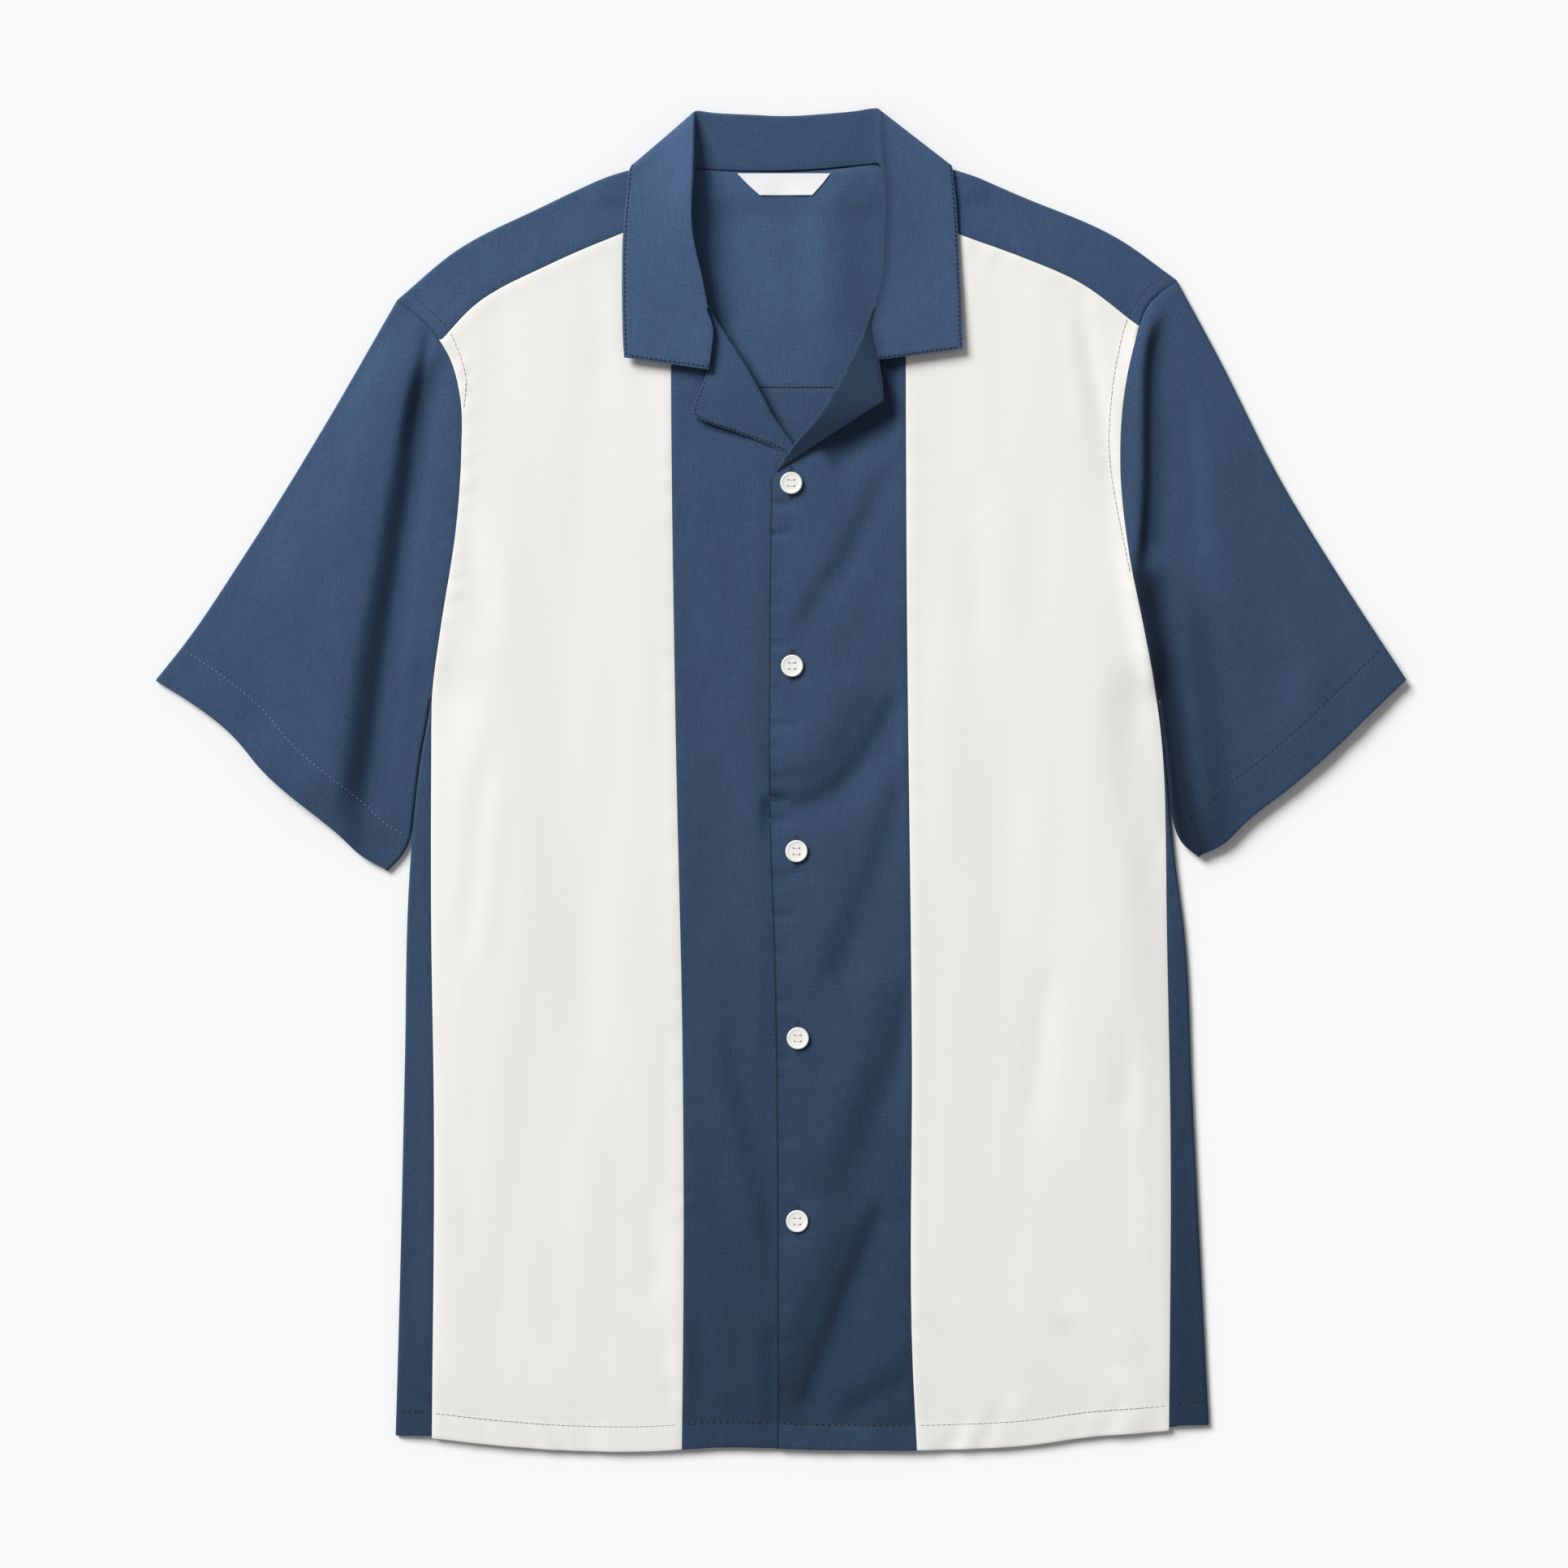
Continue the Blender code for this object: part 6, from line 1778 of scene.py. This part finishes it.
def add_button(number, center, mesh):
    """One button and the thread that holds it."""
    x, y = center
    base = button_base(center)
    mesh = mesh.copy()
    mesh.name = f"shirt_button_{number}"
    mesh.transform(Matrix.Translation(Vector((x, y, base)) * MM))
    piece = bpy.data.objects.new(f"shirt_button_{number}", mesh)
    bpy.context.scene.collection.objects.link(piece)
    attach(piece, "root")
    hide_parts(f"button_{number}")
    form = bmesh.new()
    for row in (-HOLE_PLACE, HOLE_PLACE):
        for offset in (-THREAD_OFFSET, THREAD_OFFSET):
            points = []
            for share in np.linspace(-1.0, 1.0, 9):
                rise = THREAD_RISE - THREAD_DIP * max(abs(share) - 0.8, 0.0) / 0.2
                place = (x + share * HOLE_PLACE, y + row + offset, base + BUTTON_FACE + rise)
                points.append(place)
            sew(form, np.array(points), *BUTTON_STITCH)
    look = kept_look("Cream thread")
    thread_piece(f"shirt_button_thread_{number}", form, look)


def number(name, description, default, low, high, **kind):
    """A number that the panel shows, with its limits."""
    return bpy.props.FloatProperty(
        name=name, description=description, default=default, min=low, max=high, **kind
    )


def length(name, description, default, low, high):
    """A length that the panel shows."""
    return number(name, description, default, low, high, unit="LENGTH")


def angle(name, description, degrees, low, high):
    """An angle that the panel shows."""
    return number(name, description, math.radians(degrees), low, high, subtype="ANGLE")


def colour(name, description, *parts):
    """A colour that the panel shows."""
    return bpy.props.FloatVectorProperty(
        name=name, description=description, subtype="COLOR", default=parts, min=0.0, max=1.0
    )


class ShirtSizes(bpy.types.PropertyGroup):
    """Sizes of the cloth and the sewing."""

    wall: length("Cloth", "Thickness of the body cloth", 0.0008, 0.0003, 0.0015)
    collar_wall: length("Collar", "Thickness of the collar's plies", 0.0013, 0.0005, 0.002)
    label_wall: length("Label", "Thickness of the neck label", 0.0005, 0.0002, 0.001)
    twill_pitch: length("Twill", "Distance between two ribs of the twill", 0.00139, 0.0004, 0.004)
    stitch: length("Stitch", "Length of one stitch", 0.0023, 0.001, 0.005)
    stitch_space: length("Stitch space", "Space between two stitches", 0.0007, 0.0002, 0.003)
    thread: length("Thread", "Thickness of the sewing thread", 0.0004, 0.0001, 0.001)


class ShirtColours(bpy.types.PropertyGroup):
    """Colours of the cloth, the buttons and the thread."""

    blue: colour(
        "Blue", "Twill of the back, yoke, centre, collar and sleeves", 0.0413, 0.0765, 0.147
    )
    cream: colour("Cream", "Twill of the two front side panels", 0.78, 0.768, 0.735)
    label: colour("Label", "Satin of the neck label", 0.80, 0.81, 0.83)
    button: colour("Button", "Plastic of the buttons", 0.81, 0.795, 0.75)
    dark_thread: colour("Navy thread", "Thread on the blue cloth", 0.009, 0.014, 0.027)
    pale_thread: colour("Cream thread", "Thread of the buttons", 0.7, 0.68, 0.62)
    shaded_thread: colour("Shaded thread", "Thread on the cream cloth", 0.3, 0.29, 0.27)
    # Paler than the navy thread of the left cuff
    faded_thread: colour("Faded blue thread", "Thread of the right cuff", 0.17, 0.235, 0.34)
    hole_thread: colour("Buttonhole thread", "Thread of the buttonholes", 0.024, 0.04, 0.074)
    floor: colour("Floor", "Sheet under the shirt", 0.86, 0.86, 0.86)


class ShirtStage(bpy.types.PropertyGroup):
    """Sizes of the stage."""

    key: number("Key light", "Strength of the side light", 4.1, 0.0, 20.0)
    fill: number("Fill light", "Strength of the light from all round", 0.29, 0.0, 5.0)
    rise: angle("Light height", "Angle of the side light over the floor", 38.0, 0.1, 1.5)
    turn: angle("Light direction", "Angle of the side light round the shirt", 135.0, 0.0, 6.3)
    softness: angle("Softness", "Angle that the side light fills", 30.0, 0.0, 3.0)
    distance: length("Camera height", "Height of the camera over the floor", 2.125, 0.5, 10.0)
    lens: number("Lens", "Focal length in millimetres", 85.0, 20.0, 300.0)


class SHIRT_OT_back(bpy.types.Operator):
    """Lay the back on the floor and wrap it round both sides"""

    bl_idname = "shirt.back"
    bl_label = "Back"

    def execute(self, context):
        grids = back_grids()
        cloth_piece("back", grids, plan_weaves(grids), "blue_twill")
        return {"FINISHED"}


class SHIRT_OT_yoke(bpy.types.Operator):
    """Fold the back yoke over both shoulders"""

    bl_idname = "shirt.yoke"
    bl_label = "Back yoke"

    def execute(self, context):
        grids = yoke_grids()
        # Painted light inside the neck, with painted shade beside the left roll
        shade_paints = [0.0] * (len(grids) - 1) + [NECK_PAINTED_LIGHT + grid_creases(grids[-1], NECK_SHADES)]
        cloth_piece("yoke", grids, plan_weaves(grids), "blue_twill", shade_paints)
        return {"FINISHED"}


class SHIRT_OT_front_sides(bpy.types.Operator):
    """Lay the two cream front side panels"""

    bl_idname = "shirt.front_sides"
    bl_label = "Front side panels"

    def execute(self, context):
        for name, side in SIDES.items():
            grids = [side_grid(side)]
            weaves = plan_weaves(grids, side.sign * SIDE_TURN)
            cloth_piece(f"front_side_{name}", grids, weaves, "cream_twill")
        return {"FINISHED"}


class SHIRT_OT_front_centers(bpy.types.Operator):
    """Lap the two blue front centres, each with its lapel turned back"""

    bl_idname = "shirt.front_centers"
    bl_label = "Front centre panels"

    def execute(self, context):
        for side, top_of in ((RIGHT, under_front_top), (LEFT, over_front_top)):
            grids = center_grids(side, top_of)
            weaves = plan_weaves(grids[:2]) + plan_weaves(grids[2:], side.sign * LAPEL_TURN)
            # Painted tone of the centre panel, and painted shade on the left lapel's roll and on
            # the lapels
            shade_paints = [center_shade_paint(side, grids[0]), ROLL_PAINTED_SHADE * (side is LEFT), LAPEL_SHADES[side.name]]
            node = f"front_center_{side.name}"
            cloth_piece(node, grids, weaves, "blue_twill", shade_paints)
        return {"FINISHED"}


class SHIRT_OT_collar(bpy.types.Operator):
    """Stand the camp collar on the neck seam and turn its fall down"""

    bl_idname = "shirt.collar"
    bl_label = "Camp collar"

    def execute(self, context):
        grids = collar_grids()
        weaves = [run_weave(points) for points in grids]
        shade_paints = collar_shade_paints(*grids)
        cloth_piece("collar", grids, weaves, "blue_twill", shade_paints, sizes().collar_wall)
        return {"FINISHED"}


class SHIRT_OT_sleeves(bpy.types.Operator):
    """Flatten the two sleeves beside the body"""

    bl_idname = "shirt.sleeves"
    bl_label = "Sleeves"

    def execute(self, context):
        for name, side in SIDES.items():
            grids = sleeve_grids(side)
            weaves = plan_weaves(grids, side.sign * SLEEVE_TURN)
            # Painted shade along the sleeves' creases and on the left sleeve's fold beside the body
            upper = grid_creases(grids[0], SLEEVE_SHADES[name])
            shade_paints = [upper, 0.0, UNDERARM_SHADE * (side is LEFT), 0.0]
            cloth_piece(f"sleeve_{name}", grids, weaves, "blue_twill", shade_paints)
        return {"FINISHED"}


class SHIRT_OT_label(bpy.types.Operator):
    """Lay the bare label inside the back neck"""

    bl_idname = "shirt.label"
    bl_label = "Neck label"

    def execute(self, context):
        grids, wall = [label_grid()], sizes().label_wall
        cloth_piece("neck_label", grids, plan_weaves(grids), "label_white", wall=wall)
        return {"FINISHED"}


class SHIRT_OT_buttons(bpy.types.Operator):
    """Sew on the five buttons"""

    bl_idname = "shirt.buttons"
    bl_label = "Buttons"

    def execute(self, context):
        mesh = button_mesh()
        for number, center in enumerate(BUTTON_CENTERS, start=1):
            add_button(number, center, mesh)
        return {"FINISHED"}


class SHIRT_OT_stitching(bpy.types.Operator):
    """Sew the hem, cuffs, armholes, collar, lapels and buttonholes"""

    bl_idname = "shirt.stitching"
    bl_label = "Stitching"

    def execute(self, context):
        right_end, left_start = [PRINCESS_SEAMS[name][-1][0] for name in SIDES]
        cream_hems = [
            hem_stitches(SIDE_HEM_ENDS[0], right_end - HEM_SPACE),
            hem_stitches(left_start + HEM_SPACE, SIDE_HEM_ENDS[1]),
        ]
        blue_hems = [
            hem_stitches(right_end + HEM_SPACE, CENTER_HEM_ENDS[0], under_front_top),
            hem_stitches(CENTER_HEM_ENDS[1], left_start - HEM_SPACE, over_front_top),
            *[hem_stitches(*ends) for ends in BACK_HEMS],
        ]
        tops = zip(SIDES, (front_top, left_sleeve_top))
        cuffs = [over(cuff_line(name), top) for name, top in tops]
        front, yoke = [
            [over(line, top) for line in armhole_stitch_lines(on_yoke)]
            for on_yoke, top in ((False, front_top), (True, yoke_top))
        ]
        seam = np.linspace(*BACK_YOKE_STITCHES, SEAM_POINTS)
        seam = np.stack([seam, np.full(SEAM_POINTS, BACK_YOKE_SEAM)], axis=1)
        seam = over(seam, floor_level, sizes().wall / MM + SEAM / 2)
        lapels = [lapel_stitch_line(name) for name in SIDES]
        navy, grey = kept_look("Navy thread"), kept_look("Shaded cream thread")
        pale_blue = kept_look("Faded blue thread")
        for name, lines, look, slot, size in (
            ("hem_stitches_cream", cream_hems, grey, "cream_twill", None),
            ("hem_stitches_blue", blue_hems, navy, "blue_twill", HEM_STITCH),
            ("cuff_stitches_right", cuffs[:1], pale_blue, "blue_twill", RIGHT_CUFF_STITCH),
            ("cuff_stitches_left", cuffs[1:], navy, "blue_twill", LEFT_CUFF_STITCH),
            ("armhole_stitches_front", front, grey, "cream_twill", None),
            ("armhole_stitches_yoke", yoke, navy, "blue_twill", None),
            ("back_yoke_stitches", [seam], navy, "blue_twill", YOKE_STITCH),
            ("collar_stitches", collar_stitch_lines(), navy, "blue_twill", COLLAR_STITCH),
            ("lapel_stitches", lapels, navy, "blue_twill", LAPEL_STITCH),
        ):
            stitch_piece(name, lines, look, size)
        form = bmesh.new()
        for center in BUTTON_CENTERS:
            for start, end in buttonhole_bars(center):
                way = Vector(end - start)
                rod(form, (start + end) / 2, way, way.length, HOLE_THREAD, HOLE_STITCH_SIDES)
        look = kept_look("Buttonhole thread")
        thread_piece("shirt_buttonhole_stitches", form, look)
        return {"FINISHED"}


class SHIRT_OT_stage(bpy.types.Operator):
    """Set the pale floor, the soft light and the camera"""

    bl_idname = "shirt.stage"
    bl_label = "Stage"

    def execute(self, context):
        stage = context.scene.shirt_stage
        form = bmesh.new()
        bmesh.ops.create_grid(form, x_segments=8, y_segments=8, size=FLOOR_SIZE)
        bmesh.ops.translate(form, verts=form.verts, vec=(0.0, 0.0, -FLOOR_DROP * MM))
        floor = finished("floor", form, kept_look("Floor paper"))
        world = bpy.data.worlds.new("Soft fill")
        world.use_nodes = True
        back = world.node_tree.nodes["Background"]
        back.inputs["Color"].default_value = (1.0, 1.0, 1.0, 1.0)
        back.inputs["Strength"].default_value = stage.fill
        context.scene.world = world
        lamp = bpy.data.lights.new("Key", "SUN")
        lamp.energy = stage.key
        lamp.angle = stage.softness
        key = bpy.data.objects.new("Key", lamp)
        flat, up = math.cos(stage.rise), math.sin(stage.rise)
        toward = Vector((math.cos(stage.turn) * flat, math.sin(stage.turn) * flat, up))
        key.rotation_euler = toward.to_track_quat("Z", "Y").to_euler()
        context.scene.collection.objects.link(key)
        view = bpy.data.cameras.new("Camera")
        view.lens = stage.lens
        view.sensor_width = SENSOR
        view.clip_end = 50.0
        camera = bpy.data.objects.new("Camera", view)
        camera.location = (*SHIRT_MIDDLE, stage.distance)
        context.scene.collection.objects.link(camera)
        context.scene.camera = camera
        context.scene.view_settings.view_transform = "Standard"
        return {"FINISHED"}


class SHIRT_PT_panel(bpy.types.Panel):
    """The shirt's pieces, in the order in which they are made"""

    bl_idname = "SHIRT_PT_panel"
    bl_label = "Bowling Shirt"
    bl_space_type = "VIEW_3D"
    bl_region_type = "UI"
    bl_category = "Shirt"

    def draw(self, context):
        for group in [getattr(context.scene, name) for name in GROUPS]:
            box = self.layout.box()
            for name in group.__annotations__:
                box.prop(group, name)
        for step in STEPS_IN_ORDER:
            self.layout.operator(step.bl_idname)


STEPS_IN_ORDER = (
    SHIRT_OT_back,
    SHIRT_OT_yoke,
    SHIRT_OT_front_sides,
    SHIRT_OT_front_centers,
    SHIRT_OT_collar,
    SHIRT_OT_sleeves,
    SHIRT_OT_label,
    SHIRT_OT_buttons,
    SHIRT_OT_stitching,
    SHIRT_OT_stage,
)
GROUPS = {"shirt_sizes": ShirtSizes, "shirt_colours": ShirtColours, "shirt_stage": ShirtStage}


def register():
    for kind in (*GROUPS.values(), *STEPS_IN_ORDER, SHIRT_PT_panel):
        bpy.utils.register_class(kind)
    for name, kind in GROUPS.items():
        setattr(bpy.types.Scene, name, bpy.props.PointerProperty(type=kind))


def unregister():
    for name in GROUPS:
        delattr(bpy.types.Scene, name)
    for kind in (SHIRT_PT_panel, *reversed(STEPS_IN_ORDER), *reversed(tuple(GROUPS.values()))):
        bpy.utils.unregister_class(kind)


def main():
    register()
    bpy.ops.shirt.back()
    bpy.ops.shirt.yoke()
    bpy.ops.shirt.front_sides()
    bpy.ops.shirt.front_centers()
    bpy.ops.shirt.collar()
    bpy.ops.shirt.sleeves()
    bpy.ops.shirt.label()
    bpy.ops.shirt.buttons()
    bpy.ops.shirt.stitching()
    bpy.ops.shirt.stage()


if __name__ == "__main__":
    main()
